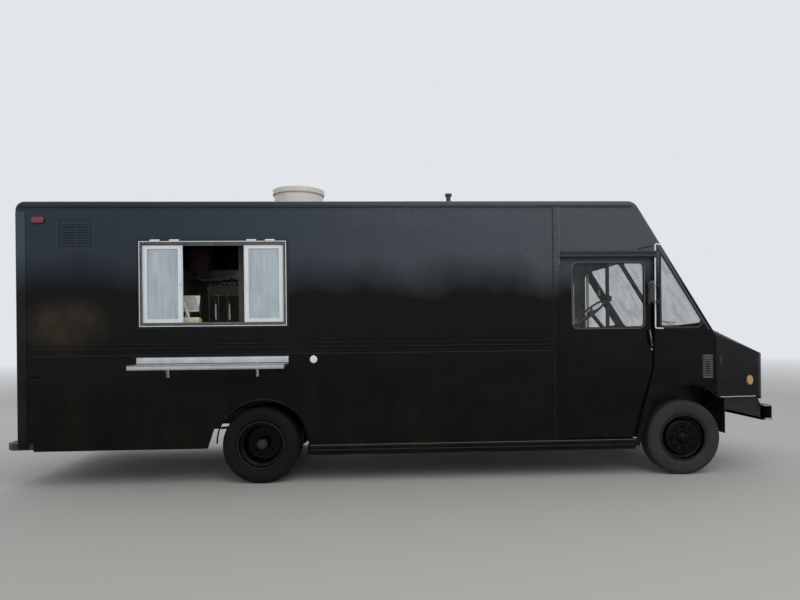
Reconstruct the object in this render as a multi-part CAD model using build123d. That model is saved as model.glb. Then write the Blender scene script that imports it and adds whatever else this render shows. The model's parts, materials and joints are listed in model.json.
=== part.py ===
"""Step-van food truck at full size, as separate named pieces.

Frame: +X forward, +Y to the driver's side, +Z up, millimetres. The origin is on the ground, in the
middle of the whole truck's length and width. Outlines in the side view are lists of (x, z) corners,
in the front view (y, z) and in plan (x, y).
"""
from build123d import *
import math
import os

# Overall
WHEELBASE = 4576.0
REAR_OVERHANG = 2618.0
FRONT_OVERHANG = 994.0
BODY_WIDTH = 2340.0
ROOF_TOP = 2985.0
WALL = 40.0
MIRROR_REACH = 1490.0
GAP = 6.0
FIT = 0.3

# Wheels
TYRE_RADIUS = 403.0
TYRE_WIDTH = 225.0
TREAD_THICKNESS = 38.0
SIDEWALL = 24.0
RIM_RADIUS = 252.0
RIM_WIDTH = 190.0
RIM_FLANGE = 8.0
RIM_LIP = 11.0
RIM_WALL = 12.0
WELL_DEPTH = 34.0
DISC_SHEET = 14.0
FRONT_DISC_OUT = 62.0
TWIN_GAP = 37.0
WHEEL_INSET = 32.0
HUB_RADIUS = 82.0

# Axles, springs and steering
SPINDLE_RADIUS = 35.0
SPINDLE_GAP = 0.3
KINGPIN_RADIUS = 20.0
KINGPIN_INSET = 118.0
BEAM_DROP = 20.0
AXLE_TUBE_RADIUS = 55.0
DIFFERENTIAL_RADIUS = 165.0
SHAFT_RADIUS = 45.0
SPRING_WIDTH = 76.0
LEAF = 11.0
FRONT_SPRING_HALF = 560.0
REAR_SPRING_HALF = 640.0
FRONT_LEAVES = 4
REAR_LEAVES = 7
SPRING_EYE = 22.0
EYE_DROP = 25.0

# Chassis
RAIL_ABOVE_HUB = 137.0
RAIL_HEIGHT = 200.0
RAIL_HALF_SPACING = 430.0
RAIL_FLANGE = 75.0
RAIL_SHEET = 9.0
CROSS_TUBE = 35.0
OUTRIGGER_SHEET = 8.0
FLOOR_DEPTH = 60.0
CRADLE_RISE = 90.0
RADIATOR_AHEAD = 685.0
RADIATOR_TOP = 1255.0

# Body shell
BUMPER_STEP = 125.0
POST_WIDTH = 115.0
SKIRT_BOTTOM = 389.0
SKIRT_FRONT_BEHIND = 551.0
SILL_TOP = 412.0
SILL_BOTTOM = 298.0
ROOF_RAIL = 61.0
SLOPE_RAIL = 30.0
ROOF_EDGE_RADIUS = 42.0
REAR_TOP_RADIUS = 92.0
SLOPE_RADIUS = 136.0
FRONT_SLOPE = 31.6
SCREEN_FOOT = 1553.0
SCREEN_HEAD = 2515.0
SCREEN_BORDER_LOW = 75.0
SCREEN_BORDER_HIGH = 65.0
SCREEN_POST = 22.0
SCREEN_SIDE = 95.0
SCREEN_CORNER = 70.0
GLASS = 7.0
FIREWALL_ABOVE_TYRE = 229.0
SEAM_AHEAD = 345.0
REAR_ARCH_ROOM = 80.0
REAR_ARCH_RISE = 36.0
REAR_ARCH_AHEAD = 29.0
FRONT_ARCH_ROOM = 64.0
FRONT_ARCH_RISE = 129.0
FRONT_ARCH_AHEAD = 22.0
WHEEL_BOX_SHEET = 25.0
BELT_HEIGHT = 1440.0
BELT_SPREAD = 44.0
BEAD_HALF = 9.0
BEAD_PROUD = 10.0

# Cab doors
DOOR_REAR_BEHIND = 1375.0
DOOR_FRONT_BEHIND = 324.0
DOOR_FOOT_BEHIND = 555.0
DOOR_HEAD = 2370.0
HEADER_HEIGHT = 57.0
HEADER_PROUD = 20.0
DOOR_KNEE = 1169.0
DOOR_THICKNESS = 36.0
DOOR_LAP = 22.0
DOOR_TRAVEL = 800.0
DOOR_GLASS_LOW = 1609.0
DOOR_GLASS_HIGH = 2319.0
DOOR_GLASS_REAR = 158.0
DOOR_GLASS_FRONT = 103.0
DOOR_GLASS_CORNER = 55.0
DOOR_BAR = 547.0
HANGER_HEIGHT = 44.0
HANGER_SHEET = 10.0
TRACK_WALL = 7.0
QUARTER_REAR = 57.0
QUARTER_HIGH = 2404.0
QUARTER_EDGE = 24.0
PILLAR_WIDTH = 68.0
PILLAR_PROUD = 8.0
HANDLE_LOW = 1425.0
HANDLE_HIGH = 1572.0
STEP_WIDTH = 260.0

# Serving side
HATCH_REAR = -1234.0
HATCH_WIDTH = 1532.0
HATCH_LOW = 1665.0
HATCH_HIGH = 2566.0
FRAME_FACE = 36.0
FLANGE_SHEET = 12.0
SASH_WIDTH = 412.0
SASH_FACE = 44.0
SASH_THICKNESS = 16.0
TRACK_LIP = 11.0
SHELF_REAR = -1260.0
SHELF_LENGTH = 1566.0
SHELF_DEPTH = 297.0
SHELF_TOP = 1281.0
SHELF_SHEET = 4.0
SHELF_LIP = 46.0
RAIL_UPSTAND = 72.0
HINGE_OUT = 14.0
HINGE_DOWN = 8.0
HINGE_RADIUS = 6.0
HINGE_PIN = 3.0
STAY_PLACES = (-941.0, -18.0)
STAY_REACH = 100.0
STAY_FOOT = 1152.0
STAY_SHEET = 4.0
STAY_HALF_WIDTH = 8.0
VENT_REAR_BEHIND = 2029.0
VENT_WIDTH = 300.0
VENT_LOW = 2523.0
VENT_HIGH = 2782.0
COWL_AHEAD = 201.0
COWL_WIDTH = 97.0
COWL_LOW = 1066.0
COWL_HIGH = 1300.0

# Roof
FAN_X = 290.0
FAN_RADIUS = 318.0
FAN_HEIGHT = 370.0
VENT_PIPE_X = 2163.0
VENT_PIPE_RADIUS = 29.0
VENT_PIPE_HEIGHT = 339.0

# Rear doors and bumper
REAR_DOORWAY = 1460.0
REAR_DOOR_HEAD = 2620.0
REAR_DOOR_THICKNESS = 42.0
REAR_GLASS_LOW = 1640.0
REAR_GLASS_HIGH = 2360.0
REAR_GLASS_INNER = 150.0
REAR_GLASS_OUTER = 590.0
HINGE_STANDOFF = 24.0
KNUCKLE_RADIUS = 13.0
DOOR_PIN = 6.0
HINGE_SHARES = (0.12, 0.5, 0.88)
TAIL_LAMP_RADIUS = 54.0
TAIL_LAMP_INSET = 130.0
REAR_MARKER_BEHIND = 2243.0
TAIL_LAMP_HEIGHTS = (700.0, 840.0, 980.0)
REAR_STEP_TOP = 474.0
REAR_STEP_THICKNESS = 70.0
BALL_BORE = 12.9

# Front end
NOSE_BEHIND_BUMPER = 58.0
HOOD_REAR_TOP = 1640.0
HOOD_FRONT_TOP = 1400.0
HOOD_SKIN = 22.0
HOOD_TAPER = 60.0
HOOD_SIDE_INSET = 5.0
HOOD_SHOULDER = 105.0
HOOD_ABOVE_RAIL = 102.0
HOOD_APRON = 30.0
HOOD_HINGE_INSET = 62.0
HOOD_HINGE_RISE = 50.0
NOSE_CORNER = 120.0
LAMP_INSET = 290.0
LAMP_WIDTH = 280.0
LAMP_HEIGHT = 200.0
LAMP_ABOVE_APRON = 143.0
GRILLE_MARGIN = 80.0
GRILLE_ABOVE_APRON = 83.0
GRILLE_BELOW_TOP = 165.0
MARKER_AHEAD = 742.0
MARKER_HEIGHT = 1024.0
BUMPER_HEIGHT = 164.0
BUMPER_ABOVE_RAIL_FOOT = 41.0
BUMPER_DEPTH = 110.0
BUMPER_SHEET = 8.0
BUMPER_SIDE_INSET = 50.0
SPLASH_AHEAD = 496.0
SPLASH_DROP = 147.0
VALANCE_RISE = 112.0
APRON_TOP = 1000.0

# Cab and kitchen
WHEEL_TILT = 39.5
WHEEL_BEHIND_AXLE = 412.0
WHEEL_HEIGHT = 1839.0
STEERING_RADIUS = 236.0
COLUMN_RADIUS = 26.0
DRIVER_Y = 550.0
MIRROR_BEHIND_AXLE = 475.0
SEAT_BEHIND_AXLE = 935.0
COVER_HALF = 372.0
COVER_TOP = 1215.0
COVER_BEHIND_AXLE = 275.0
DASH_LOW = 1262.0
DASH_TOP = 1500.0
DASH_DEPTH = 320.0
COUNTER_REAR = -1480.0
COUNTER_FRONT = 1920.0
COUNTER_TOP = 1655.0
COUNTER_DEPTH = 400.0
LINE_REAR = -1980.0
LINE_DEPTH = 620.0
LINE_TOP = 1660.0
CABINET_SHEET = 24.0
CANOPY_FRONT = 1220.0
RACK_REAR = -1270.0
RACK_LENGTH = 470.0
TILL_X = -792.0

# Places worked out from the driving dimensions
half = BODY_WIDTH / 2
inner = half - WALL
length = REAR_OVERHANG + WHEELBASE + FRONT_OVERHANG
rear_axle_x = REAR_OVERHANG - length / 2
front_axle_x = rear_axle_x + WHEELBASE
body_rear = rear_axle_x - REAR_OVERHANG + BUMPER_STEP
seam_x = front_axle_x + SEAM_AHEAD
bumper_front = front_axle_x + FRONT_OVERHANG
nose_x = bumper_front - NOSE_BEHIND_BUMPER
door_rear = front_axle_x - DOOR_REAR_BEHIND
door_front = front_axle_x - DOOR_FRONT_BEHIND
door_foot = front_axle_x - DOOR_FOOT_BEHIND
pillar_rear = door_rear - PILLAR_WIDTH
door_outer = inner - GAP
door_inner = door_outer - DOOR_THICKNESS
rail_bottom = TYRE_RADIUS + RAIL_ABOVE_HUB
rail_top = rail_bottom + RAIL_HEIGHT
floor_top = rail_top + FLOOR_DEPTH
rear_post_bottom = REAR_STEP_TOP + 4
roof_foot = ROOF_TOP - ROOF_RAIL - FIT
firewall_bottom = 2 * TYRE_RADIUS + FIREWALL_ABOVE_TYRE
twin_spacing = TYRE_WIDTH + TWIN_GAP
wheel_y = half - WHEEL_INSET - TYRE_WIDTH / 2
kingpin_y = wheel_y - KINGPIN_INSET
kingpin_z = TYRE_RADIUS - BEAM_DROP
front_spring_y = RAIL_HALF_SPACING - 36
rear_spring_y = RAIL_HALF_SPACING + SPRING_WIDTH / 2 + 14
front_seat_z = TYRE_RADIUS + 34
rear_seat_z = TYRE_RADIUS + AXLE_TUBE_RADIUS + 4
eye_z = rail_bottom - EYE_DROP
rear_arch_radius = TYRE_RADIUS + REAR_ARCH_ROOM
front_arch_radius = TYRE_RADIUS + FRONT_ARCH_ROOM
wheel_box_top = 2 * TYRE_RADIUS + REAR_ARCH_ROOM + WHEEL_BOX_SHEET
front_slope = math.radians(FRONT_SLOPE)
hood_rear = seam_x + GAP
hood_bottom = rail_top + HOOD_ABOVE_RAIL
hood_half = half - HOOD_SIDE_INSET
hood_pin_x = nose_x - HOOD_HINGE_INSET
hood_pin_z = rail_top + HOOD_HINGE_RISE
hood_arm_y = RAIL_HALF_SPACING - RAIL_FLANGE / 2
bumper_bottom = rail_bottom + BUMPER_ABOVE_RAIL_FOOT
bumper_top = bumper_bottom + BUMPER_HEIGHT
lamp_outer = half - LAMP_INSET
grille_half = lamp_outer - LAMP_WIDTH - GRILLE_MARGIN
shelf_pin_y = -half - HINGE_OUT
shelf_pin_z = SHELF_TOP - HINGE_DOWN
stay_pin_y = shelf_pin_y - STAY_REACH
stay_pin_z = shelf_pin_z - 13
rear_pin_x = body_rear - HINGE_STANDOFF
rear_pin_y = REAR_DOORWAY / 2 - GAP / 2
cab_front = seam_x - SLOPE_RAIL - FIT
RIGHT, LEFT = -1, 1

os.makedirs("parts", exist_ok=True)


def save(name, *solids):
    """Write one named piece, of one or more solids."""
    shape = solids[0] if len(solids) == 1 else Compound(children=list(solids))
    shape.label = name
    export_step(shape, f"parts/{name}.step")


def outline_face(points, radii=None):
    """Flat face from corners in space, with one radius for each corner if given."""
    if radii is None:
        return make_face(Polyline(*points, close=True))
    return make_face(FilletPolyline(*points, radius=radii, close=True))


def side_prism(corners, y_from, y_to, radii=None):
    """Solid whose outline is drawn in the side view."""
    face = outline_face([(x, y_from, z) for x, z in corners], radii)
    return extrude(face, amount=y_to - y_from, dir=(0, 1, 0))


def front_prism(corners, x_from, x_to, radii=None):
    """Solid whose outline is drawn in the front view."""
    face = outline_face([(x_from, y, z) for y, z in corners], radii)
    return extrude(face, amount=x_to - x_from, dir=(1, 0, 0))


def plan_prism(corners, z_from, z_to, radii=None):
    """Solid whose outline is drawn in plan."""
    face = outline_face([(x, y, z_from) for x, y in corners], radii)
    return extrude(face, amount=z_to - z_from, dir=(0, 0, 1))


def rectangle(a0, a1, b0, b1):
    """Corners of a rectangle, for any of the three views."""
    return [(a0, b0), (a0, b1), (a1, b1), (a1, b0)]


def block(x0, x1, y0, y1, z0, z1):
    """Rectangular cutting or filling block between two corners."""
    centre = ((x0 + x1) / 2, (y0 + y1) / 2, (z0 + z1) / 2)
    return Pos(*centre) * Box(abs(x1 - x0), abs(y1 - y0), abs(z1 - z0))


def rod_y(x, z, radius, y0, y1):
    """Round bar along Y."""
    return Pos(x, (y0 + y1) / 2, z) * Rot(90, 0, 0) * Cylinder(radius, abs(y1 - y0))


def rod_x(y, z, radius, x0, x1):
    """Round bar along X."""
    return Pos((x0 + x1) / 2, y, z) * Rot(0, 90, 0) * Cylinder(radius, abs(x1 - x0))


def rod_z(x, y, radius, z0, z1):
    """Upright round bar."""
    return Pos(x, y, (z0 + z1) / 2) * Cylinder(radius, z1 - z0)


def turned_y(profile, x, y, side, radii=None):
    """Turn a profile of (distance outwards, radius) about a wheel's axis; side is -1 right, 1 left."""
    points = [(x, y + side * out, TYRE_RADIUS + r) for out, r in profile]
    return revolve(outline_face(points, radii), Axis((x, 0, TYRE_RADIUS), (0, 1, 0)), 360)


def mirrored(left):
    """Closed outline in the front view from its left-hand corners, mirrored to the right."""
    return left + [(-y, z) for y, z in left[::-1]]


def both_sides(make):
    """The same piece on the right and on the left."""
    return [make(RIGHT), make(LEFT)]


def slope_x(z, inset=0.0):
    """X of the sloping front at a height, on the outer skin or a distance inside it."""
    foot = seam_x + (SCREEN_FOOT - z) * math.tan(front_slope)
    return foot - inset / math.cos(front_slope)


def upper_outline(inset, front_inset, bottom):
    """Side view of the body from its rear edge over the roof to the foot of the windscreen."""
    top = ROOF_TOP - inset
    front = seam_x - front_inset
    slant = front_inset / math.cos(front_slope)
    knee = SCREEN_FOOT - (slant - front_inset) / math.tan(front_slope)
    corners = [(body_rear + inset, bottom), (body_rear + inset, top), (slope_x(top, front_inset), top),
               (front, knee), (front, bottom)]
    return corners, [0, REAR_TOP_RADIUS - inset, SLOPE_RADIUS - inset, 0, 0]


def body_form(inset, bottom):
    """Closed body form, used outside and inside to leave a shell."""
    corners, radii = upper_outline(inset, inset, bottom)
    return side_prism(corners, -half + inset, half - inset, radii)


def rounded_body(bottom):
    """Outer body form with the long roof edges rolled, down the rear corners and the sloping front."""
    form = body_form(0, bottom)
    edges = [e for e in form.edges()
             if abs(abs((e @ 0.5).Y) - half) < 1
             and (e @ 0.5).Z > SCREEN_FOOT + 200
             and max((e @ 0).X, (e @ 1).X) > body_rear + 1]
    return fillet(edges, ROOF_EDGE_RADIUS)


# The shell between the outer and inner forms; roof, windscreen surround and rear frame are cut from it
SHELL_BOTTOM = 300.0
shell = rounded_body(SHELL_BOTTOM) - body_form(WALL, SHELL_BOTTOM - 10)
side_area, side_radii = upper_outline(ROOF_RAIL, SLOPE_RAIL, SHELL_BOTTOM - 20)
band = shell - side_prism(side_area, -half - 50, half + 50, side_radii)


def below_header(shift):
    """Everything below and ahead of the line, square to the sloping front, at the windscreen's head."""
    x = slope_x(SCREEN_HEAD) - shift * math.sin(front_slope)
    z = SCREEN_HEAD + shift * math.cos(front_slope)
    out_x = 60 * math.cos(front_slope)
    out_z = 60 * math.sin(front_slope)
    corners = [(x + out_x, z + out_z), (x - 4 * out_x, z - 4 * out_z), (x - 4 * out_x, 0), (seam_x + 200, 0),
               (seam_x + 200, z + out_z)]
    return side_prism(corners, -half - 60, half + 60)


def roof_panel():
    """Roof skin with rolled edges, the curve over the windscreen and the vent pipe's stub."""
    walls = block(body_rear - 10, door_rear, -half - 60, half + 60, 0, ROOF_TOP - ROOF_RAIL)
    roof = band - walls - below_header(FIT / 2)
    pipe_x = rear_axle_x + VENT_PIPE_X
    pipe_top = ROOF_TOP + VENT_PIPE_HEIGHT
    roof += rod_z(pipe_x, 0, VENT_PIPE_RADIUS, ROOF_TOP - WALL / 2, pipe_top - 12)
    roof += rod_z(pipe_x, 0, VENT_PIPE_RADIUS + 15, pipe_top - 31, pipe_top)
    return roof - rod_z(rear_axle_x + FAN_X, 0, FAN_RADIUS - 60, ROOF_TOP - 100, ROOF_TOP + 20)


def screen_opening(side, gap, thickness):
    """Windscreen opening on one side of the centre post, or the pane that fills it less a gap."""
    low = SCREEN_FOOT + SCREEN_BORDER_LOW
    high = SCREEN_HEAD - SCREEN_BORDER_HIGH
    tall = (high - low) / math.cos(front_slope)
    wide = half - SCREEN_SIDE - SCREEN_POST
    middle_z = (low + high) / 2
    place = Pos(slope_x(middle_z, SLOPE_RAIL / 2), side * (SCREEN_POST + wide / 2), middle_z)
    sheet = Rectangle(tall - 2 * gap, wide - 2 * gap)
    sheet = fillet(sheet.vertices(), SCREEN_CORNER - gap)
    return place * Rot(0, 90 - FRONT_SLOPE, 0) * extrude(sheet, amount=thickness / 2, both=True)


def windscreen_surround():
    """Frame round the two windscreen panes, with the firewall below it open for the engine."""
    frame = band & below_header(-FIT / 2)
    frame -= block(body_rear - 10, seam_x + 100, -half - 60, half + 60, 0, firewall_bottom)
    for side in (RIGHT, LEFT):
        frame -= screen_opening(side, 0, 3 * WALL)
    engine_gap = rectangle(-COVER_HALF + 42, COVER_HALF - 42, floor_top, COVER_TOP + 35)
    return frame - front_prism(engine_gap, seam_x - 100, seam_x + 100, [0, 60, 60, 0])


def quarter_corners(inset):
    """Corners of the quarter window beside the windscreen."""
    rear = door_front + QUARTER_REAR + inset
    low = DOOR_GLASS_LOW + inset
    high = QUARTER_HIGH - inset
    edge = SLOPE_RAIL + QUARTER_EDGE + inset
    return [(rear, low), (rear, high), (slope_x(high, edge), high), (slope_x(low + 55, edge), low + 55)]


QUARTER_RADII = [22, 14, 14, 30]


def cab_glass():
    """Windscreen panes and the two quarter windows."""
    panes = [screen_opening(side, FIT, GLASS) for side in (RIGHT, LEFT)]
    for side in (RIGHT, LEFT):
        y = side * (half - WALL / 2)
        panes.append(side_prism(quarter_corners(FIT), y, y + side * GLASS, QUARTER_RADII))
    return panes


def belt_beads(side, x0, x1):
    """Two raised beads of the belt moulding along a wall."""
    y = side * (half - 4)
    proud = side * (half + BEAD_PROUD)
    beads = []
    for z in (BELT_HEIGHT, BELT_HEIGHT + BELT_SPREAD):
        section = [(y, z - BEAD_HALF), (proud, z - 3), (proud, z + 3), (y, z + BEAD_HALF)]
        beads.append(front_prism(section, x0, x1))
    return beads[0] + beads[1]


def side_wall(side):
    """Load-space side wall in one sheet, with its arch, skirt, belt moulding and B-pillar strip."""
    rear = body_rear + POST_WIDTH
    skirt_rear = rear + 60
    skirt_front = rear_axle_x - SKIRT_FRONT_BEHIND
    arch_x = rear_axle_x + REAR_ARCH_AHEAD
    corners = [(rear, rear_post_bottom), (skirt_rear, rear_post_bottom), (skirt_rear, SKIRT_BOTTOM),
               (skirt_front, SKIRT_BOTTOM), (skirt_front + 72, SKIRT_BOTTOM + 211),
               (arch_x, SKIRT_BOTTOM + 251),
               (arch_x + rear_arch_radius - 9, SILL_TOP), (door_rear, SILL_TOP), (door_rear, roof_foot),
               (rear, roof_foot)]
    wall = side_prism(corners, side * inner, side * half)
    wall -= rod_y(arch_x, TYRE_RADIUS + REAR_ARCH_RISE, rear_arch_radius, side * (inner - 50),
                  side * (half + 50))
    wall += block(pillar_rear, door_rear, side * (half - 5), side * (half + PILLAR_PROUD), SILL_TOP,
                  roof_foot)
    return wall + belt_beads(side, rear, pillar_rear)


def hatch_opening(inset):
    """Rectangle of the serving window's hole in the wall, in the side view."""
    x0 = rear_axle_x + HATCH_REAR
    return rectangle(x0 + inset, x0 + HATCH_WIDTH - inset, HATCH_LOW + inset, HATCH_HIGH - inset)


def side_wall_right():
    """Right wall, with the serving window's hole and the hole behind the louvres."""
    wall = side_wall(RIGHT)
    wall -= side_prism(hatch_opening(14), -half - 60, -inner + 60)
    x0 = rear_axle_x - VENT_REAR_BEHIND
    return wall - block(x0 + 18, x0 + VENT_WIDTH - 18, -half - 60, -inner + 60, VENT_LOW + 18, VENT_HIGH - 18)


def louvre_panel(x0, x1, z0, z1, side, columns, slats):
    """Sheet with rows of pressed louvres: each slat leans out over the slot below it."""
    y_face = side * (half + FIT)
    sheet = side * 3.0
    proud = side * 10.0
    margin = 24.0
    post = 26.0
    column = (x1 - x0 - 2 * margin - (columns - 1) * post) / columns
    pitch = (z1 - z0 - 2 * margin) / slats
    panel = block(x0, x1, y_face, y_face + sheet, z0, z1)
    for c in range(columns):
        left = x0 + margin + c * (column + post)
        for n in range(slats):
            low = z0 + margin + n * pitch
            panel -= block(left, left + column, y_face - proud, y_face + proud, low, low + pitch * 0.55)
            slat = [(y_face, low + pitch * 0.5), (y_face + proud, low + pitch * 0.12),
                    (y_face + proud, low + pitch * 0.28), (y_face + sheet, low + pitch * 0.72),
                    (y_face, low + pitch * 0.72)]
            panel += front_prism(slat, left - 1, left + column + 1)
    return panel


def body_louvres():
    """Rear vent's louvres on the serving side, and the cowl louvres on both sides."""
    vent_x = rear_axle_x - VENT_REAR_BEHIND
    cowl_x = front_axle_x + COWL_AHEAD
    panels = [louvre_panel(vent_x, vent_x + VENT_WIDTH, VENT_LOW, VENT_HIGH, RIGHT, 2, 8)]
    for side in (RIGHT, LEFT):
        panels.append(louvre_panel(cowl_x, cowl_x + COWL_WIDTH, COWL_LOW, COWL_HIGH, side, 1, 8))
    return panels


def cowl_cut(side):
    """Hole in the cab's side behind the cowl louvres."""
    cowl_x = front_axle_x + COWL_AHEAD
    return block(cowl_x + 18, cowl_x + COWL_WIDTH - 18, side * (inner - 50), side * (half + 50),
                 COWL_LOW + 18, COWL_HIGH - 18)


def cab_side(side):
    """Side of the cab: panel over the door, post and quarter panel ahead of it, down to the arch."""
    y_in = side * (inner - 50)
    y_out = side * (half + 50)
    arch_foot = door_front - 38
    corners = [(door_rear + FIT, roof_foot), (door_rear + FIT, DOOR_HEAD), (door_front, DOOR_HEAD),
               (door_front, DOOR_KNEE), (door_foot, SILL_TOP - 80), (door_foot + 40, SILL_TOP - 80),
               (arch_foot, floor_top + 32), (front_axle_x, floor_top + 100), (seam_x, floor_top + 100),
               (seam_x, roof_foot)]
    panel = side_prism(corners, side * inner, side * half)
    core_corners, core_radii = upper_outline(ROOF_RAIL + FIT, SLOPE_RAIL + FIT, SHELL_BOTTOM - 100)
    core = side_prism(core_corners, y_in, y_out, core_radii)
    lower = block(door_rear - 50, seam_x + 5, y_in, y_out, SHELL_BOTTOM - 100, firewall_bottom - FIT)
    panel = panel & (core + lower)
    panel -= rod_y(front_axle_x + FRONT_ARCH_AHEAD, TYRE_RADIUS + FRONT_ARCH_RISE, front_arch_radius, y_in,
                   y_out)
    panel -= side_prism(quarter_corners(0), y_in, y_out, QUARTER_RADII)
    panel -= cowl_cut(side)
    header = [(half - 4, DOOR_HEAD), (half + HEADER_PROUD - 6, DOOR_HEAD),
              (half + HEADER_PROUD, DOOR_HEAD + 10),
              (half + 8, DOOR_HEAD + HEADER_HEIGHT), (half - 4, DOOR_HEAD + HEADER_HEIGHT)]
    return panel + front_prism([(side * y, z) for y, z in header], door_rear + FIT, door_front + 12)


def door_track(side):
    """Track inside the body that the sliding door's hangers run in, screwed to the walls' inner faces."""
    middle = (door_inner + door_outer) / 2
    slot = HANGER_SHEET / 2 + FIT
    low = DOOR_HEAD + DOOR_LAP + GAP
    head = low + HANGER_HEIGHT
    x0 = door_rear - DOOR_TRAVEL - DOOR_LAP
    x1 = door_front + DOOR_LAP
    section = [(middle - slot - TRACK_WALL, low), (middle - slot - TRACK_WALL, head + TRACK_WALL),
               (inner - FIT, head + TRACK_WALL), (inner - FIT, low), (middle + slot, low),
               (middle + slot, head),
               (middle - slot, head), (middle - slot, low)]
    return front_prism([(side * y, z) for y, z in section], x0, x1)


def cab_sides():
    """Both cab sides, and the door tracks that run on from them inside the load space."""
    return both_sides(cab_side) + both_sides(door_track)


def rear_frame():
    """Rear wall: rolled corner posts, header and sill round the doorway, with the hinge brackets and pins."""
    frame = shell & block(body_rear - 5, body_rear + POST_WIDTH - FIT, -half - 5, half + 5, rear_post_bottom,
                          roof_foot)
    doorway = rectangle(-REAR_DOORWAY / 2, REAR_DOORWAY / 2, floor_top, REAR_DOOR_HEAD)
    frame -= front_prism(doorway, body_rear - 20, body_rear + POST_WIDTH)
    for side in (RIGHT, LEFT):
        for z in hinge_heights():
            frame += hinge_bracket(side, z)
    return frame


def hinge_heights():
    """Heights of the rear doors' hinges."""
    return [floor_top + (REAR_DOOR_HEAD - floor_top) * share for share in HINGE_SHARES]


def hinge_bracket(side, z):
    """Bracket on the rear post with the pin of one door hinge."""
    pin_y = side * rear_pin_y
    post_y = side * (REAR_DOORWAY / 2 + 70)
    bracket = rod_z(rear_pin_x, pin_y, DOOR_PIN, z - 62, z + 62)
    for low, high in ((z - 62, z - 40), (z + 40, z + 62)):
        bracket += rod_z(rear_pin_x, pin_y, KNUCKLE_RADIUS, low, high)
        bracket += block(rear_pin_x - 4, rear_pin_x + 4, pin_y, post_y, low, high)
    return bracket + block(rear_pin_x - 4, body_rear + 1, post_y - side * 6, post_y + side * 6, z - 62,
                           z + 62)


def rear_window(side, gap, x0, x1):
    """Rear door window opening, or its pane less a gap."""
    corners = rectangle(REAR_GLASS_INNER + gap, REAR_GLASS_OUTER - gap, REAR_GLASS_LOW + gap,
                        REAR_GLASS_HIGH - gap)
    return front_prism([(side * y, z) for y, z in corners], x0, x1, [60 - gap] * 4)


def rear_glass(side):
    """Pane of one rear door, set into the leaf."""
    return rear_window(side, FIT, body_rear + 14, body_rear + 14 + GLASS)


def rear_door(side):
    """One leaf of the rear doors, with its window, pressed panel, three hinge knuckles and a latch lever."""
    edge = REAR_DOORWAY / 2 - GAP
    low = floor_top + GAP
    leaf = block(body_rear, body_rear + REAR_DOOR_THICKNESS, side * GAP / 2, side * edge, low,
                 REAR_DOOR_HEAD - GAP)
    leaf -= rear_window(side, 0, body_rear - 20, body_rear + 80)
    pressing = [(side * y, z) for y, z in rectangle(110, edge - 184, low + 90, low + 640)]
    leaf -= front_prism(pressing, body_rear - 5, body_rear + 6, [30] * 4)
    for z in hinge_heights():
        strap_y = side * (edge - 150)
        foot_y = side * (edge - 120)
        leaf += rod_z(rear_pin_x, side * rear_pin_y, KNUCKLE_RADIUS, z - 38, z + 38)
        leaf += block(rear_pin_x - 4, rear_pin_x + 4, side * rear_pin_y, strap_y, z - 30, z + 30)
        leaf += block(rear_pin_x - 4, body_rear + 1, strap_y, foot_y, z - 30, z + 30)
        leaf -= rod_z(rear_pin_x, side * rear_pin_y, DOOR_PIN + SPINDLE_GAP, z - 60, z + 60)
    if side == RIGHT:
        leaf += rear_latch()
    return leaf


def rear_latch():
    """Turning lever with its round boss, at the free edge of the right leaf."""
    z = floor_top + 700
    y = -GAP / 2 - 52
    lever = rectangle(y - 12, y + 12, z - 10, z + 150)
    latch = rod_x(y, z, 30, body_rear - 14, body_rear + 1)
    return latch + front_prism(lever, body_rear - 26, body_rear - 13, [11] * 4)


def cab_door_outline():
    """Sliding door's outline, lapping behind the opening's edges."""
    low = SILL_TOP + 8
    return [(door_rear - DOOR_LAP, low), (door_rear - DOOR_LAP, DOOR_HEAD + DOOR_LAP),
            (door_front + DOOR_LAP, DOOR_HEAD + DOOR_LAP), (door_front + DOOR_LAP, DOOR_KNEE - 6),
            (door_foot + DOOR_LAP + 24, low)]


def cab_door_window(inset):
    """Corners of the door's window."""
    return rectangle(door_rear + DOOR_GLASS_REAR + inset, door_front - DOOR_GLASS_FRONT - inset,
                     DOOR_GLASS_LOW + inset, DOOR_GLASS_HIGH - inset)


def cab_door(side):
    """Sliding cab door: flat skin, window, pressed inner panel, pull handle and the hangers it runs on."""
    door = side_prism(cab_door_outline(), side * door_inner, side * door_outer)
    door -= side_prism(cab_door_window(0), side * (door_inner - 30), side * (door_outer + 30),
                       [DOOR_GLASS_CORNER] * 4)
    pressing = [(door_rear + 60, 560), (door_rear + 60, DOOR_GLASS_LOW - 89),
                (door_front - 60, DOOR_GLASS_LOW - 89),
                (door_front - 60, DOOR_KNEE + 71), (door_foot - 30, 560)]
    door -= side_prism(pressing, side * (door_inner - 5), side * (door_inner + 18), [40] * 5)
    middle = side * (door_inner + door_outer) / 2
    for x in (door_rear + 120, door_front - 120):
        low = DOOR_HEAD + DOOR_LAP - 1
        door += block(x - 45, x + 45, middle - HANGER_SHEET / 2, middle + HANGER_SHEET / 2, low,
                      low + 1 + GAP + HANGER_HEIGHT - FIT)
    return door + door_handle(side)


def door_handle(side):
    """Slanting pull handle near the door's front edge, on two bosses."""
    x_top = door_front - 62
    x_foot = door_front - 34
    face = side * (door_outer - 1)
    grip_in = side * (door_outer + 26)
    grip = [(x_top - 9, HANDLE_HIGH + 14), (x_top + 9, HANDLE_HIGH + 14), (x_foot + 9, HANDLE_LOW - 14),
            (x_foot - 9, HANDLE_LOW - 14)]
    handle = side_prism(grip, grip_in, side * (door_outer + 40), [8] * 4)
    handle += rod_y(x_top, HANDLE_HIGH, 9, face, side * (door_outer + 27))
    handle += rod_y(x_foot, HANDLE_LOW, 9, face, side * (door_outer + 27))
    return handle + rod_y(x_foot + 6, HANDLE_LOW - 52, 13, face, side * (door_outer + 12))


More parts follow.
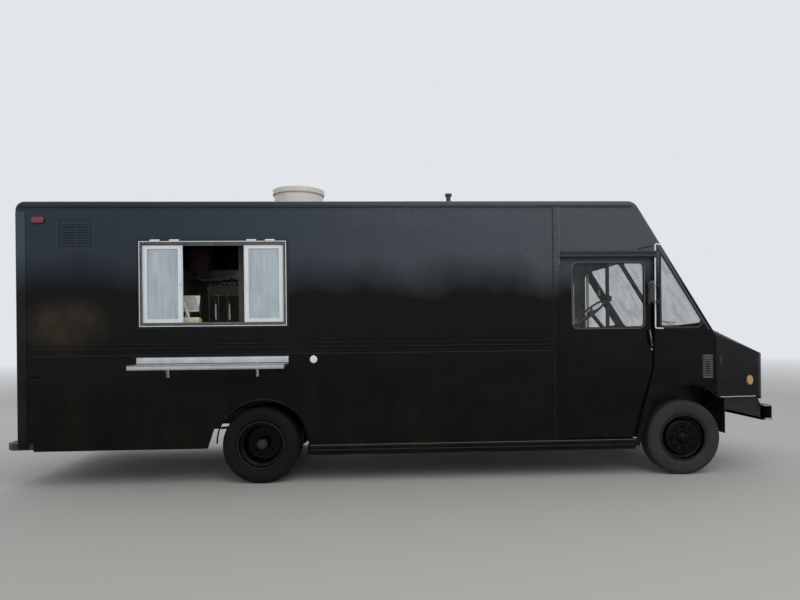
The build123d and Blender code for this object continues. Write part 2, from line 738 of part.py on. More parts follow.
def cab_door_glass(side):
    """The two panes of the door's window, either side of their bar."""
    pane = side_prism(cab_door_window(FIT), side * (door_outer - 14), side * (door_outer - 14 - GLASS),
                      [DOOR_GLASS_CORNER - FIT] * 4)
    x_bar = door_rear + DOOR_BAR
    return pane + block(x_bar - 14, x_bar + 14, side * (door_outer - 4), side * (door_inner + 4),
                        DOOR_GLASS_LOW + 1,
                        DOOR_GLASS_HIGH - 1)


def floor_pan():
    """Floor sheet with the rear wheel boxes, step wells by the cab doors and front wheelhouses."""
    low = rail_top + FIT
    y_door = door_inner - GAP
    pocket_rear = door_rear - DOOR_LAP - DOOR_TRAVEL - 2 * GAP
    floor = block(body_rear + WALL + FIT, cab_front, -inner + FIT, inner - FIT, low, floor_top)
    floor -= block(front_axle_x - 190, cab_front + 1, -COVER_HALF + 42, COVER_HALF - 42, low - 1,
                   floor_top + 1)
    for side in (RIGHT, LEFT):
        floor -= block(pocket_rear, cab_front + 1, side * y_door, side * (inner + 1), low - 1, floor_top + 1)
        floor = step_well(floor, side, y_door)
        floor = wheel_box(floor, side)
        floor = wheelhouse(floor, side, y_door)
    return floor


def step_well(floor, side, y_door):
    """Sunken step at one cab door, as a tread hung on three sheets."""
    sheet = 20.0
    x0 = door_rear
    x1 = door_foot - 30
    y0 = door_inner - STEP_WIDTH
    low = SILL_TOP + 4
    floor -= block(x0, x1, side * y0, side * y_door, rail_top - 1, floor_top + 1)
    well = block(x0 - sheet, x1 + sheet, side * (y0 - sheet), side * y_door, low, floor_top)
    return floor + well - block(x0, x1, side * y0, side * (y_door + 1), low + 26, floor_top + 1)


def wheel_box(floor, side):
    """Half-round box over the twin wheels."""
    edge = side * (inner - FIT)
    y_box = wheel_y - twin_spacing - 150
    reach = rear_arch_radius
    arch_x = rear_axle_x + REAR_ARCH_AHEAD
    box = rod_y(arch_x, TYRE_RADIUS, reach + WHEEL_BOX_SHEET, edge, side * (y_box - WHEEL_BOX_SHEET))
    box &= block(arch_x - 2 * reach, arch_x + 2 * reach, -half, half, rail_top + FIT, 2 * wheel_box_top)
    return floor + box - rod_y(arch_x, TYRE_RADIUS, reach, side * (inner + 1), side * y_box)


def wheelhouse(floor, side, y_door):
    """Inner wheelhouse behind and inboard of one front wheel, roomy enough for full lock."""
    sheet = 26.0
    rear = front_axle_x - TYRE_RADIUS - 67
    y0 = kingpin_y - 245
    head = firewall_bottom - FIT - 5
    low = rail_top + FIT
    house = block(rear, cab_front, side * y0, side * y_door, low, head)
    cave = block(rear + sheet, cab_front + 1, side * (y0 + sheet), side * (inner + 1), low - 1, head - sheet)
    return floor + house - cave


def engine_cover():
    """Rounded cover over the engine between the two seats."""
    rear = front_axle_x - COVER_BEHIND_AXLE
    outside = [(COVER_HALF, floor_top + FIT), (COVER_HALF - 72, COVER_TOP)]
    inside = [(COVER_HALF - 25, floor_top - 1), (COVER_HALF - 94, COVER_TOP - 25)]
    cover = front_prism(mirrored(outside), rear, cab_front, [0, 90, 90, 0])
    return cover - front_prism(mirrored(inside), rear + 25, seam_x, [0, 66, 66, 0])


def rocker_rails():
    """Rub rails along the bottom of the body between the wheels, in folded sheet."""
    y_back = inner - 60
    section = [(half + 2, SILL_TOP - 6), (half + 8, SILL_TOP - 26), (half + 2, SILL_BOTTOM + 20),
               (half - 14, SILL_BOTTOM), (y_back, SILL_BOTTOM), (y_back, SILL_BOTTOM + 12),
               (half - 18, SILL_BOTTOM + 12), (half - 18, SILL_TOP - 18), (y_back, SILL_TOP - 18),
               (y_back, SILL_TOP - FIT), (half - 8, SILL_TOP - FIT)]
    x0 = rear_axle_x + rear_arch_radius + 12
    return both_sides(lambda side: front_prism([(side * y, z) for y, z in section], x0, door_foot))


def chassis_rail(side):
    """One channel rail, open towards the middle."""
    y_lip = RAIL_HALF_SPACING - RAIL_FLANGE
    y_web = RAIL_HALF_SPACING - RAIL_SHEET
    section = [(RAIL_HALF_SPACING, rail_bottom), (RAIL_HALF_SPACING, rail_top), (y_lip, rail_top),
               (y_lip, rail_top - RAIL_SHEET), (y_web, rail_top - RAIL_SHEET),
               (y_web, rail_bottom + RAIL_SHEET),
               (y_lip, rail_bottom + RAIL_SHEET), (y_lip, rail_bottom)]
    return front_prism([(side * y, z) for y, z in section], body_rear + 60, bumper_front - BUMPER_DEPTH - 4)


def outrigger(x, side):
    """Tapered sheet arm from a rail out to the rocker, carrying the body's side."""
    y_root = RAIL_HALF_SPACING - 2
    y_end = inner - 4
    section = [(y_root, rail_bottom + 30), (y_end - 66, rail_top - 50), (y_end - 66, SILL_TOP + 2),
               (y_end, SILL_TOP + 2), (y_end, rail_top), (y_root, rail_top)]
    return front_prism([(side * y, z) for y, z in section], x - OUTRIGGER_SHEET / 2, x + OUTRIGGER_SHEET / 2)


def hood_bracket(side):
    """Two ears on a rail's front end with the pin that the hood tilts on."""
    bracket = rod_y(hood_pin_x, hood_pin_z, 8, side * (hood_arm_y - 26), side * (hood_arm_y + 26))
    for y in (hood_arm_y - 22, hood_arm_y + 22):
        ear = [(hood_pin_x - 34, rail_top - 1), (hood_pin_x - 12, hood_pin_z + 14),
               (hood_pin_x + 12, hood_pin_z + 14),
               (hood_pin_x + 5, rail_top - 1)]
        bracket += side_prism(ear, side * (y - 4), side * (y + 4), [0, 10, 10, 0])
    return bracket


def chassis_frame():
    """Two channel rails, tubular cross members, the engine's cradle, outriggers and the hood's brackets."""
    frame = chassis_rail(RIGHT) + chassis_rail(LEFT)
    y_web = RAIL_HALF_SPACING - 2
    for x in (body_rear + 120, rear_axle_x - 760, rear_axle_x + 760, rear_axle_x + 1700, front_axle_x - 900):
        frame += rod_y(x, rail_top - 46, CROSS_TUBE, -y_web, y_web)
    for ahead in (-90, 430, RADIATOR_AHEAD):
        x = front_axle_x + ahead
        frame += block(x - 32, x + 32, -y_web, y_web, rail_bottom + 30, rail_bottom + CRADLE_RISE - FIT)
    for side in (RIGHT, LEFT):
        for x in (rear_axle_x + 760, rear_axle_x + 1080, rear_axle_x + 2200):
            frame += outrigger(x, side)
        frame += hood_bracket(side)
    return frame


def engine_block():
    """The engine as one plain mass, reaching back into the cab."""
    return block(front_axle_x - 160, front_axle_x + 560, -270, 270, rail_bottom + CRADLE_RISE, 1130)


def radiator():
    """Radiator between the rails, ahead of the engine, with a header tank at its top and foot."""
    x = front_axle_x + RADIATOR_AHEAD
    wide = RAIL_HALF_SPACING - RAIL_FLANGE - 5
    low = rail_bottom + CRADLE_RISE
    core = front_prism(rectangle(-wide + 12, wide - 12, low + 40, RADIATOR_TOP - 40), x - 20, x + 20)
    for foot in (low, RADIATOR_TOP - 60):
        core += front_prism(rectangle(-wide, wide, foot, foot + 60), x - 34, x + 34, [14] * 4)
    return core


def leaf_pack(x_axle, y, reach, leaves, z_seat):
    """Stepped pack of bowed leaves with its two eyes."""
    y0 = y - SPRING_WIDTH / 2
    y1 = y + SPRING_WIDTH / 2
    rise = eye_z - LEAF - z_seat - leaves * LEAF
    pack = rod_y(x_axle - reach, eye_z, SPRING_EYE, y0, y1) + rod_y(x_axle + reach, eye_z, SPRING_EYE, y0, y1)
    for n in range(leaves):
        share = 1 - n * 0.8 / leaves
        low = z_seat + (leaves - 1 - n) * LEAF
        ends = reach * share
        bow = rise * share * share
        lower = [(x_axle - ends, low + bow), (x_axle - 70, low), (x_axle + 70, low),
                 (x_axle + ends, low + bow)]
        upper = [(x, z + LEAF) for x, z in reversed(lower)]
        pack += side_prism(lower + upper, y0, y1)
    return pack


def hanger(x, y0, y1, head):
    """Bracket that holds a spring eye on the rail."""
    corners = [(x - 18, eye_z), (x + 18, eye_z), (x + 34, head), (x - 34, head)]
    return side_prism(corners, y0, y1)


def leaf_springs():
    """Front packs under the rails, rear packs outside them on brackets that reach up the webs."""
    packs = []
    for side in (RIGHT, LEFT):
        front = leaf_pack(front_axle_x, side * front_spring_y, FRONT_SPRING_HALF, FRONT_LEAVES, front_seat_z)
        rear = leaf_pack(rear_axle_x, side * rear_spring_y, REAR_SPRING_HALF, REAR_LEAVES, rear_seat_z)
        for direction in (-1, 1):
            x_front = front_axle_x + direction * FRONT_SPRING_HALF
            x_rear = rear_axle_x + direction * REAR_SPRING_HALF
            front += hanger(x_front, side * front_spring_y - 30, side * front_spring_y + 30,
                            rail_bottom - FIT)
            y_web = side * (RAIL_HALF_SPACING + FIT)
            rear += hanger(x_rear, y_web, side * (rear_spring_y + 30), rail_bottom + 96)
        packs += [front, rear]
    return packs


def front_axle():
    """Dropped I-beam with bosses for the kingpins and pads for the springs."""
    seat = front_spring_y
    z = kingpin_z
    profile = mirrored([(seat + 90, z - 84), (kingpin_y - 70, z - 36), (kingpin_y, z - 34),
                        (kingpin_y, z + 24),
                        (kingpin_y - 60, z + 26), (seat + 60, z - 20)])
    beam = front_prism(profile, front_axle_x - 40, front_axle_x + 40)
    web = [(y * 0.93, z - 32 + (h - z + 32) * 0.55) for y, h in profile]
    for direction in (-1, 1):
        beam -= front_prism(web, front_axle_x + direction * 14, front_axle_x + direction * 60)
    for side in (RIGHT, LEFT):
        beam += rod_z(front_axle_x, side * kingpin_y, 42, z - 40, z + 28)
        beam += rod_z(front_axle_x, side * kingpin_y, KINGPIN_RADIUS, z - 100, z + 88)
        beam += block(front_axle_x - 70, front_axle_x + 70, side * (seat - 45), side * (seat + 45), z - 24,
                      front_seat_z - FIT)
    return beam


def knuckle(side):
    """Forked steering knuckle round the kingpin, with its spindle and steering arm."""
    z = kingpin_z
    pin = side * kingpin_y
    body = block(front_axle_x - 55, front_axle_x + 55, pin + side * 50, pin + side * 72, z - 96, z + 84)
    for low, high in ((z + 30, z + 84), (z - 96, z - 42)):
        body += rod_z(front_axle_x, pin, 40, low, high)
        body += block(front_axle_x - 30, front_axle_x + 30, pin, pin + side * 60, low, high)
    body -= rod_z(front_axle_x, pin, KINGPIN_RADIUS + SPINDLE_GAP, z - 200, z + 200)
    body += rod_y(front_axle_x, TYRE_RADIUS, SPINDLE_RADIUS, pin + side * 60, side * (wheel_y + 95))
    arm = [(front_axle_x - 20, pin + side * 36), (front_axle_x - 170, pin - side * 30),
           (front_axle_x - 185, pin - side * 4), (front_axle_x - 20, pin + side * 66)]
    return body + plan_prism(arm, z - 96, z - 74, [0, 10, 10, 0])


def tyre(x, y, side):
    """Tyre with rounded shoulders and bulged sidewalls, turned about its axle."""
    wide = TYRE_WIDTH / 2
    bead = RIM_RADIUS - RIM_FLANGE + FIT
    seat = RIM_WIDTH / 2 - RIM_LIP - FIT - 1
    crown = TYRE_RADIUS - TREAD_THICKNESS
    outside = [(seat, bead, 0), (seat, RIM_RADIUS + 2, 0), (wide, bead + 44, 60),
               (wide - 6, TYRE_RADIUS - 31, 60),
               (wide - 26, TYRE_RADIUS, 22)]
    inside = [(seat - 10, bead, 0), (wide - SIDEWALL, bead + 52, 30), (wide - SIDEWALL - 12, crown, 18)]
    flank = outside[::-1] + inside
    profile = [(-out, r) for out, r, _ in flank[::-1]] + [(out, r) for out, r, _ in flank]
    radii = [corner[2] for corner in flank[::-1] + flank]
    return turned_y(profile, x, y, side, radii)


def rim(x, y, side, disc_at):
    """Drop-centre rim with flanges and its disc; disc_at is how far out from the middle the disc sits."""
    h = RIM_WIDTH / 2
    seat = RIM_RADIUS - RIM_FLANGE
    well = seat - WELL_DEPTH
    barrel = [(-h, RIM_RADIUS), (-h + RIM_LIP, RIM_RADIUS), (-h + RIM_LIP, seat), (-40, seat - 4),
              (-30, well),
              (30, well), (40, seat - 4), (h - RIM_LIP, seat), (h - RIM_LIP, RIM_RADIUS), (h, RIM_RADIUS),
              (h, seat - RIM_WALL), (48, seat - RIM_WALL - 4), (36, well - RIM_WALL), (-36, well - RIM_WALL),
              (-48, seat - RIM_WALL - 4), (-h, seat - RIM_WALL)]
    radii = [4, 4, 0, 6, 8, 8, 6, 0, 4, 4, 4, 8, 10, 10, 8, 4]
    root = math.copysign(20, disc_at)
    sheet = DISC_SHEET / 2
    bend = well - 32
    disc = [(root - sheet, well - 4), (disc_at - sheet, bend), (disc_at - sheet, HUB_RADIUS - 20),
            (disc_at + sheet, HUB_RADIUS - 20), (disc_at + sheet, bend + 4), (root + sheet + 2, well - 2)]
    return turned_y(barrel, x, y, side, radii) + turned_y(disc, x, y, side, [0, 24, 0, 0, 24, 0])


def hub_barrel(x, y, side, y_in, y_out, bore):
    """Hub sleeve that turns on the spindle or the axle tube, from y_in to y_out along the outward side."""
    profile = [(y_in, bore), (y_in, HUB_RADIUS + 14), (y_in + 30, HUB_RADIUS + 14),
               (y_in + 34, HUB_RADIUS - 6),
               (y_out - 26, HUB_RADIUS - 14), (y_out, HUB_RADIUS - 34), (y_out, bore)]
    return turned_y(profile, x, y, side)


def front_rim(side):
    """Front wheel with its disc bulging outwards, hub, nut ring and cap."""
    y = side * wheel_y
    wheel = rim(front_axle_x, y, side, FRONT_DISC_OUT)
    wheel += hub_barrel(front_axle_x, y, side, -36, 112, SPINDLE_RADIUS + SPINDLE_GAP)
    ring = [(60, HUB_RADIUS - 22), (78, HUB_RADIUS - 22), (78, 142), (66, 152)]
    cap = [(108, 0), (112, HUB_RADIUS - 34), (124, HUB_RADIUS - 50), (126, 0)]
    return wheel + turned_y(ring, front_axle_x, y, side, [0, 0, 4, 0]) + turned_y(cap, front_axle_x, y, side)


def rear_rims(side):
    """Twin rear wheels on one hub: the outer disc is dished deep, the inner one mirrors it."""
    y_outer = side * wheel_y
    between = twin_spacing / 2
    wheels = rim(rear_axle_x, y_outer, side, -between + 8)
    wheels += rim(rear_axle_x, side * (wheel_y - twin_spacing), side, between - 8)
    wheels += hub_barrel(rear_axle_x, y_outer, side, -between - 60, -10, AXLE_TUBE_RADIUS + SPINDLE_GAP)
    cap = [(-12, 0), (-12, HUB_RADIUS - 26), (52, HUB_RADIUS - 30), (60, HUB_RADIUS - 44), (60, 0)]
    return wheels + turned_y(cap, rear_axle_x, y_outer, side, [0, 0, 6, 0, 0])


def rear_axle():
    """Rear axle housing with its differential, spring pads and the propeller shaft to the gearbox."""
    axle = rod_y(rear_axle_x, TYRE_RADIUS, AXLE_TUBE_RADIUS, -wheel_y + 30, wheel_y - 30)
    axle += Pos(rear_axle_x, 0, TYRE_RADIUS) * Sphere(DIFFERENTIAL_RADIUS)
    axle += rod_x(0, TYRE_RADIUS, 70, rear_axle_x, rear_axle_x + 260)
    start = Vector(rear_axle_x + 250, 0, TYRE_RADIUS)
    run = Vector(front_axle_x - 160 - FIT, 0, rail_bottom + 70) - start
    axle += extrude(Plane(origin=start, z_dir=run) * Circle(SHAFT_RADIUS), amount=run.length - SHAFT_RADIUS)
    for side in (RIGHT, LEFT):
        axle += block(rear_axle_x - 68, rear_axle_x + 68, side * (rear_spring_y - 42),
                      side * (rear_spring_y + 42),
                      TYRE_RADIUS, rear_seat_z - FIT)
    return axle


def fuel_tank():
    """Fuel tank slung outside the left rail on two straps."""
    x0 = rear_axle_x + 1150
    y0 = RAIL_HALF_SPACING + 20
    low = rail_bottom - 160
    tank = front_prism(rectangle(y0, y0 + 420, low, low + 320), x0, x0 + 560, [60] * 4)
    strap = rectangle(y0 - 20 + FIT, y0 + 428, low - 8, low + 328)
    for x in (x0 + 120, x0 + 440):
        tank += front_prism(strap, x - 22, x + 22, [4, 4, 66, 66])
    return tank


def exhaust_system():
    """Silencer and pipe under the right side of the floor, on two hangers."""
    y = -RAIL_HALF_SPACING - 180
    z = rail_bottom - 25
    x0 = rear_axle_x + 1200
    system = rod_x(y, z, 95, x0, x0 + 800) + rod_x(y, z, 32, x0 - 320, front_axle_x - 700)
    for x in (x0 + 150, x0 + 650):
        system += block(x, x + 8, y - 20, y + 20, z, rail_top)
    return system


def front_bumper():
    """Channel bumper on the rails' ends, with side valances, splash panels and aprons by the engine."""
    y_end = half - BUMPER_SIDE_INSET
    x1 = bumper_front
    x0 = x1 - BUMPER_DEPTH
    section = [(x0, bumper_bottom), (x1, bumper_bottom), (x1, bumper_top), (x0, bumper_top),
               (x0, bumper_top - BUMPER_SHEET), (x1 - BUMPER_SHEET, bumper_top - BUMPER_SHEET),
               (x1 - BUMPER_SHEET, bumper_bottom + BUMPER_SHEET), (x0, bumper_bottom + BUMPER_SHEET)]
    bumper = side_prism(section, -y_end, y_end)
    splash_x = front_axle_x + SPLASH_AHEAD
    head = bumper_top + VALANCE_RISE
    valance = [(splash_x, head), (hood_pin_x - 10, head), (x1 - 90, bumper_top),
               (x1 - 90, bumper_bottom + 20),
               (splash_x + 40, bumper_top - 50), (splash_x, bumper_top - 50)]
    for side in (RIGHT, LEFT):
        y_side = side * (y_end - 60)
        y_rail = side * (RAIL_HALF_SPACING + 152)
        bumper += side_prism(valance, y_side, y_side - side * 6)
        bumper += block(splash_x, splash_x + 6, y_rail, y_side, bumper_bottom - SPLASH_DROP, head)
        bumper += block(cab_front + GAP, splash_x + 6, y_rail, y_rail + side * 6, rail_top - 60, APRON_TOP)
        y_web = side * (RAIL_HALF_SPACING + FIT)
        bumper += block(splash_x, splash_x + 60, y_web, y_rail, rail_top - 60, rail_top - 50)
        bumper += block(x0 - 3, x1 - BUMPER_SHEET + 1, side * (RAIL_HALF_SPACING - 60),
                        side * (RAIL_HALF_SPACING + 10), bumper_bottom + 10, bumper_top - 10)
    return bumper


def rear_bumper():
    """Step bumper with chamfered corners, carried on two arms from the rails, with the tow ball's hole."""
    x0 = body_rear - BUMPER_STEP
    y_end = half - 20
    low = REAR_STEP_TOP - REAR_STEP_THICKNESS
    left = [(x0, y_end - 70), (x0 + 70, y_end), (x0 + 290, y_end), (x0 + 290, y_end - 60),
            (x0 + 150, y_end - 80)]
    bumper = plan_prism(left + [(x, -y) for x, y in left[::-1]], low, REAR_STEP_TOP)
    bumper -= plan_prism(rectangle(x0 - 1, x0 + 14, -y_end + 84, y_end - 84), low + 20, REAR_STEP_TOP - 20)
    arm = [(x0 + 60, REAR_STEP_TOP - 1), (x0 + 60, low), (x0 + 220, low), (x0 + 320, rail_bottom - FIT),
           (x0 + 215, rail_bottom - FIT), (x0 + 180, REAR_STEP_TOP - 1)]
    for side in (RIGHT, LEFT):
        bumper += side_prism(arm, side * hood_arm_y - 32, side * hood_arm_y + 32)
    return bumper - rod_z(x0 + 50, 0, BALL_BORE, low - 24, REAR_STEP_TOP + 24)


def hood_form(inset):
    """Closed form of the tilting hood, tapering in plan and sloping down to the nose."""
    x1 = nose_x - inset
    wide = hood_half - inset
    low = hood_bottom - 40
    side_view = side_prism(
        [(hood_rear, low), (hood_rear, HOOD_REAR_TOP - inset), (x1 - 90, HOOD_FRONT_TOP - inset),
         (x1, HOOD_FRONT_TOP - 80 - inset), (x1, low)],
        -half - 10, half + 10, [0, 0, 60, 60, 0],
    )
    plan = plan_prism(
        [(hood_rear, -wide), (x1, -wide + HOOD_TAPER), (x1, wide - HOOD_TAPER), (hood_rear, wide)],
        low - 5, HOOD_REAR_TOP + 50, [0, NOSE_CORNER - inset, NOSE_CORNER - inset, 0],
    )
    drop = (HOOD_REAR_TOP - HOOD_FRONT_TOP) / (nose_x - 90 - hood_rear)
    shoulder_z = HOOD_REAR_TOP - 62 - inset
    section = [(-wide - 2, low - 60), (-wide - 2, shoulder_z), (0, HOOD_REAR_TOP + 6 - inset),
               (wide + 2, shoulder_z),
               (wide + 2, low - 60)]
    face = outline_face([(hood_rear - 5, y, z + 5 * drop) for y, z in section],
                        [0, HOOD_SHOULDER, 500, HOOD_SHOULDER, 0])
    run = nose_x - hood_rear + 20
    crown = extrude(face, amount=math.hypot(run, run * drop), dir=(1, 0, -drop))
    flanks = block(hood_rear - 1, nose_x + 1, -half, half, low - 5, 1150)
    return side_view & plan & (crown + flanks)


def grille_opening(gap, x0, x1):
    """Grille's opening in the nose, or what fills it less a gap."""
    corners = rectangle(-grille_half + gap, grille_half - gap, hood_bottom + GRILLE_ABOVE_APRON + gap,
                        HOOD_FRONT_TOP - GRILLE_BELOW_TOP - gap)
    return front_prism(corners, x0, x1, [40 - gap] * 4)


def lamp_opening(side, gap, x0, x1):
    """Headlamp's opening in the nose, or what fills it less a gap."""
    low = hood_bottom + LAMP_ABOVE_APRON
    corners = rectangle(lamp_outer - LAMP_WIDTH + gap, lamp_outer - gap, low + gap, low + LAMP_HEIGHT - gap)
    return front_prism([(side * y, z) for y, z in corners], x0, x1, [26 - gap] * 4)


def hood_arm(side):
    """Arm inside the nose that turns on the hood's pin."""
    x_skin = nose_x - HOOD_SKIN + 1
    arm = [(hood_pin_x - 15, hood_pin_z - 15), (hood_pin_x - 15, hood_pin_z + 15), (x_skin, hood_bottom + 70),
           (x_skin, hood_bottom - 20), (hood_pin_x + 15, hood_pin_z - 15)]
    plate = side_prism(arm, side * (hood_arm_y - 17), side * (hood_arm_y + 17), [14, 14, 0, 0, 14])
    return plate - rod_y(hood_pin_x, hood_pin_z, 8 + FIT, side * (hood_arm_y - 40), side * (hood_arm_y + 40))


def hood():
    """One-piece tilting hood with both fenders, its grille and lamp openings and its two hinge arms."""
    hollow = hood_form(HOOD_SKIN)
    skin = hood_form(0) - hollow - Pos(-HOOD_SKIN - 4, 0, 0) * hollow
    skin -= block(hood_rear - 5, nose_x - 60, -half - 10, half + 10, hood_bottom - 60, hood_bottom)
    skin -= block(hood_rear - 5, nose_x + 10, -half - 10, half + 10, hood_bottom - 60,
                  hood_bottom - HOOD_APRON)
    skin -= rod_y(front_axle_x + FRONT_ARCH_AHEAD, TYRE_RADIUS + FRONT_ARCH_RISE, front_arch_radius,
                  -half - 20, half + 20)
    skin -= grille_opening(0, nose_x - 80, nose_x + 20)
    for side in (RIGHT, LEFT):
        skin -= lamp_opening(side, 0, nose_x - 80, nose_x + 20)
        skin += hood_arm(side)
    return skin


def grille():
    """Grille insert: a rounded surround with five level bars and two uprights."""
    x1 = nose_x - 6
    low = hood_bottom + GRILLE_ABOVE_APRON + 30
    high = HOOD_FRONT_TOP - GRILLE_BELOW_TOP - 30
    wide = grille_half - 32
    insert = grille_opening(FIT, x1 - 34, x1)
    insert -= front_prism(rectangle(-wide, wide, low, high), x1 - 60, x1 + 20, [22] * 4)
    bars = 5
    pitch = (high - low) / bars
    for n in range(bars):
        z = low + (n + 0.5) * pitch
        bar = [(x1 - 30, z + 6), (x1 - 4, z - 8), (x1 - 4, z + 8), (x1 - 30, z + 20)]
        insert += side_prism(bar, -wide - 2, wide + 2)
    for y in (-wide / 3, wide / 3):
        insert += block(x1 - 30, x1 - 12, y - 8, y + 8, low - 5, high + 5)
    return insert


def front_lamps():
    """Rectangular headlamps in the nose and oval side markers on the fenders."""
    lamps = both_sides(lambda side: lamp_opening(side, FIT, nose_x - 60, nose_x - 4))
    run = nose_x - hood_rear
    lean = math.degrees(math.atan(HOOD_TAPER / run))
    x = front_axle_x + MARKER_AHEAD
    y = hood_half - HOOD_TAPER * (x - hood_rear) / run + FIT
    for side in (RIGHT, LEFT):
        lens = extrude(Ellipse(36, 52), amount=18)
        lens = fillet(lens.edges().group_by(Axis.Z)[-1], 8)
        lamps.append(Pos(x, side * y, MARKER_HEIGHT) * Rot(0, 0, -side * lean) * Rot(-side * 90, 0, 0) * lens)
    return lamps


def body_lamps():
    """Red side markers high at the rear, and three round tail lamps down each rear post."""
    lamps = []
    x = rear_axle_x - REAR_MARKER_BEHIND
    for side in (RIGHT, LEFT):
        y = side * (half + FIT)
        lamps.append(side_prism(rectangle(x - 62, x + 62, 2755, 2815), y, y + side * 24, [26] * 4))
        for z in TAIL_LAMP_HEIGHTS:
            lamps.append(rod_x(side * (half - TAIL_LAMP_INSET), z, TAIL_LAMP_RADIUS, body_rear - 18,
                               body_rear - FIT))
    return lamps


def window_frame():
    """Serving window's frame: outer flange on the wall, deep jambs and two tracks at the head and sill."""
    y_face = -half - FIT
    frame = side_prism(hatch_opening(-2), y_face, y_face - FLANGE_SHEET)
    frame += side_prism(hatch_opening(14 + FIT), y_face - 1, -inner + 8)
    frame -= side_prism(hatch_opening(FRAME_FACE), -half - 60, -inner + 60)
    x0 = rear_axle_x + HATCH_REAR + FRAME_FACE - 1
    x1 = x0 + HATCH_WIDTH - 2 * FRAME_FACE + 2
    for y in (-half + 4, -half + 24):
        for z in (HATCH_LOW + FRAME_FACE - 1, HATCH_HIGH - FRAME_FACE - TRACK_LIP):
            frame += block(x0, x1, y - 1.5, y + 1.5, z, z + TRACK_LIP + 1)
    return frame


def sash_ends():
    """The (x0, x1) of the two sashes, pushed to the ends of the frame."""
    x0 = rear_axle_x + HATCH_REAR + FRAME_FACE + FIT
    x1 = rear_axle_x + HATCH_REAR + HATCH_WIDTH - FRAME_FACE - FIT
    return [(x0, x0 + SASH_WIDTH), (x1 - SASH_WIDTH, x1)]


sash_low = HATCH_LOW + FRAME_FACE + FIT
sash_high = HATCH_HIGH - FRAME_FACE - FIT
sash_y = -half + 5.5 + FIT


def window_sashes():
    """Two sliding sashes, running between the tracks' lips."""
    sashes = []
    for x0, x1 in sash_ends():
        sash = side_prism(rectangle(x0, x1, sash_low, sash_high), sash_y, sash_y + SASH_THICKNESS)
        hole = rectangle(x0 + SASH_FACE, x1 - SASH_FACE, sash_low + SASH_FACE, sash_high - SASH_FACE)
        sashes.append(sash - side_prism(hole, sash_y - 5, sash_y + SASH_THICKNESS + 5))
    return sashes


def sash_glass():
    """Panes of the two sashes."""
    face = SASH_FACE + FIT
    return [side_prism(rectangle(x0 + face, x1 - face, sash_low + face, sash_high - face), sash_y + 5,
                       sash_y + 11)
            for x0, x1 in sash_ends()]


shelf_rear = rear_axle_x + SHELF_REAR
shelf_front = shelf_rear + SHELF_LENGTH


def shelf_rail():
    """Upstand on the wall over the shelf, hinge pin with its end plates, and two legs for the stays."""
    y_face = -half - FIT
    upstand = [(y_face, SHELF_TOP + 6), (y_face, SHELF_TOP + RAIL_UPSTAND),
               (y_face - 14, SHELF_TOP + RAIL_UPSTAND),
               (y_face - 18, SHELF_TOP + 40), (y_face - 18, SHELF_TOP + 6)]
    rail = front_prism(upstand, shelf_rear, shelf_front, [0, 0, 5, 0, 0])
    rail += rod_x(shelf_pin_y, shelf_pin_z, HINGE_PIN, shelf_rear + 2, shelf_front - 2)
    for x in (shelf_rear + 5, shelf_front - 5):
        rail += block(x - 3, x + 3, y_face, shelf_pin_y - 4, shelf_pin_z - 4, SHELF_TOP + 8)
    for place in STAY_PLACES:
        x = rear_axle_x + place
        rail += block(x - 10, x + 10, y_face, y_face - STAY_SHEET, STAY_FOOT - 12, SHELF_TOP + 8)
        rail += block(x - 10, x - 10 + STAY_SHEET, y_face, y_face - 24, STAY_FOOT - 12, STAY_FOOT + 12)
    return rail


def serving_shelf():
    """Fold-down shelf: folded sheet with a front lip, end returns, hinge tube and an arm over each stay."""
    x0 = shelf_rear + 10
    x1 = shelf_front - 10
    y_front = -half - SHELF_DEPTH
    low = SHELF_TOP - SHELF_LIP
    shelf = block(x0, x1, y_front, shelf_pin_y, SHELF_TOP - SHELF_SHEET, SHELF_TOP)
    shelf += block(x0, x1, y_front, y_front + SHELF_SHEET, low, SHELF_TOP)
    cheek = [(y_front, low), (y_front, SHELF_TOP), (shelf_pin_y - 30, SHELF_TOP),
             (shelf_pin_y - 30, SHELF_TOP - 16)]
    for x in (x0, x1 - SHELF_SHEET):
        shelf += front_prism(cheek, x, x + SHELF_SHEET)
    shelf += rod_x(shelf_pin_y, shelf_pin_z, HINGE_RADIUS, x0, x1)
    shelf -= rod_x(shelf_pin_y, shelf_pin_z, HINGE_PIN + FIT, shelf_rear, shelf_front)
    arm = [(shelf_pin_y - 24, SHELF_TOP - 2), (shelf_pin_y - 24, SHELF_TOP - 12),
           (stay_pin_y - 20, stay_pin_z - 13),
           (stay_pin_y - 60, SHELF_TOP - 2)]
    for place in STAY_PLACES:
        x = rear_axle_x + place
        shelf += front_prism(arm, x + 4, x + 8)
        shelf += rod_x(stay_pin_y, stay_pin_z, 4, x - 6, x + 6)
    return shelf


def shelf_stays():
    """Two stays that hang on the shelf's arms and stand beside the wall legs."""
    foot_y = -half - 14.0
    run = math.hypot(foot_y - stay_pin_y, STAY_FOOT - stay_pin_z)
    across_y = STAY_HALF_WIDTH * (STAY_FOOT - stay_pin_z) / run
    across_z = STAY_HALF_WIDTH * (foot_y - stay_pin_y) / run
    corners = [(stay_pin_y - across_y, stay_pin_z + across_z), (foot_y - across_y, STAY_FOOT + across_z),
               (foot_y + across_y, STAY_FOOT - across_z), (stay_pin_y + across_y, stay_pin_z - across_z)]
    stays = []
    for place in STAY_PLACES:
        x1 = rear_axle_x + place - 1
        x0 = x1 - STAY_SHEET
        bar = front_prism(corners, x0, x1) + rod_x(stay_pin_y, stay_pin_z, 9, x0, x1)
        stays.append(bar - rod_x(stay_pin_y, stay_pin_z, 4 + FIT, x0 - 10, x1 + 10))
    return stays


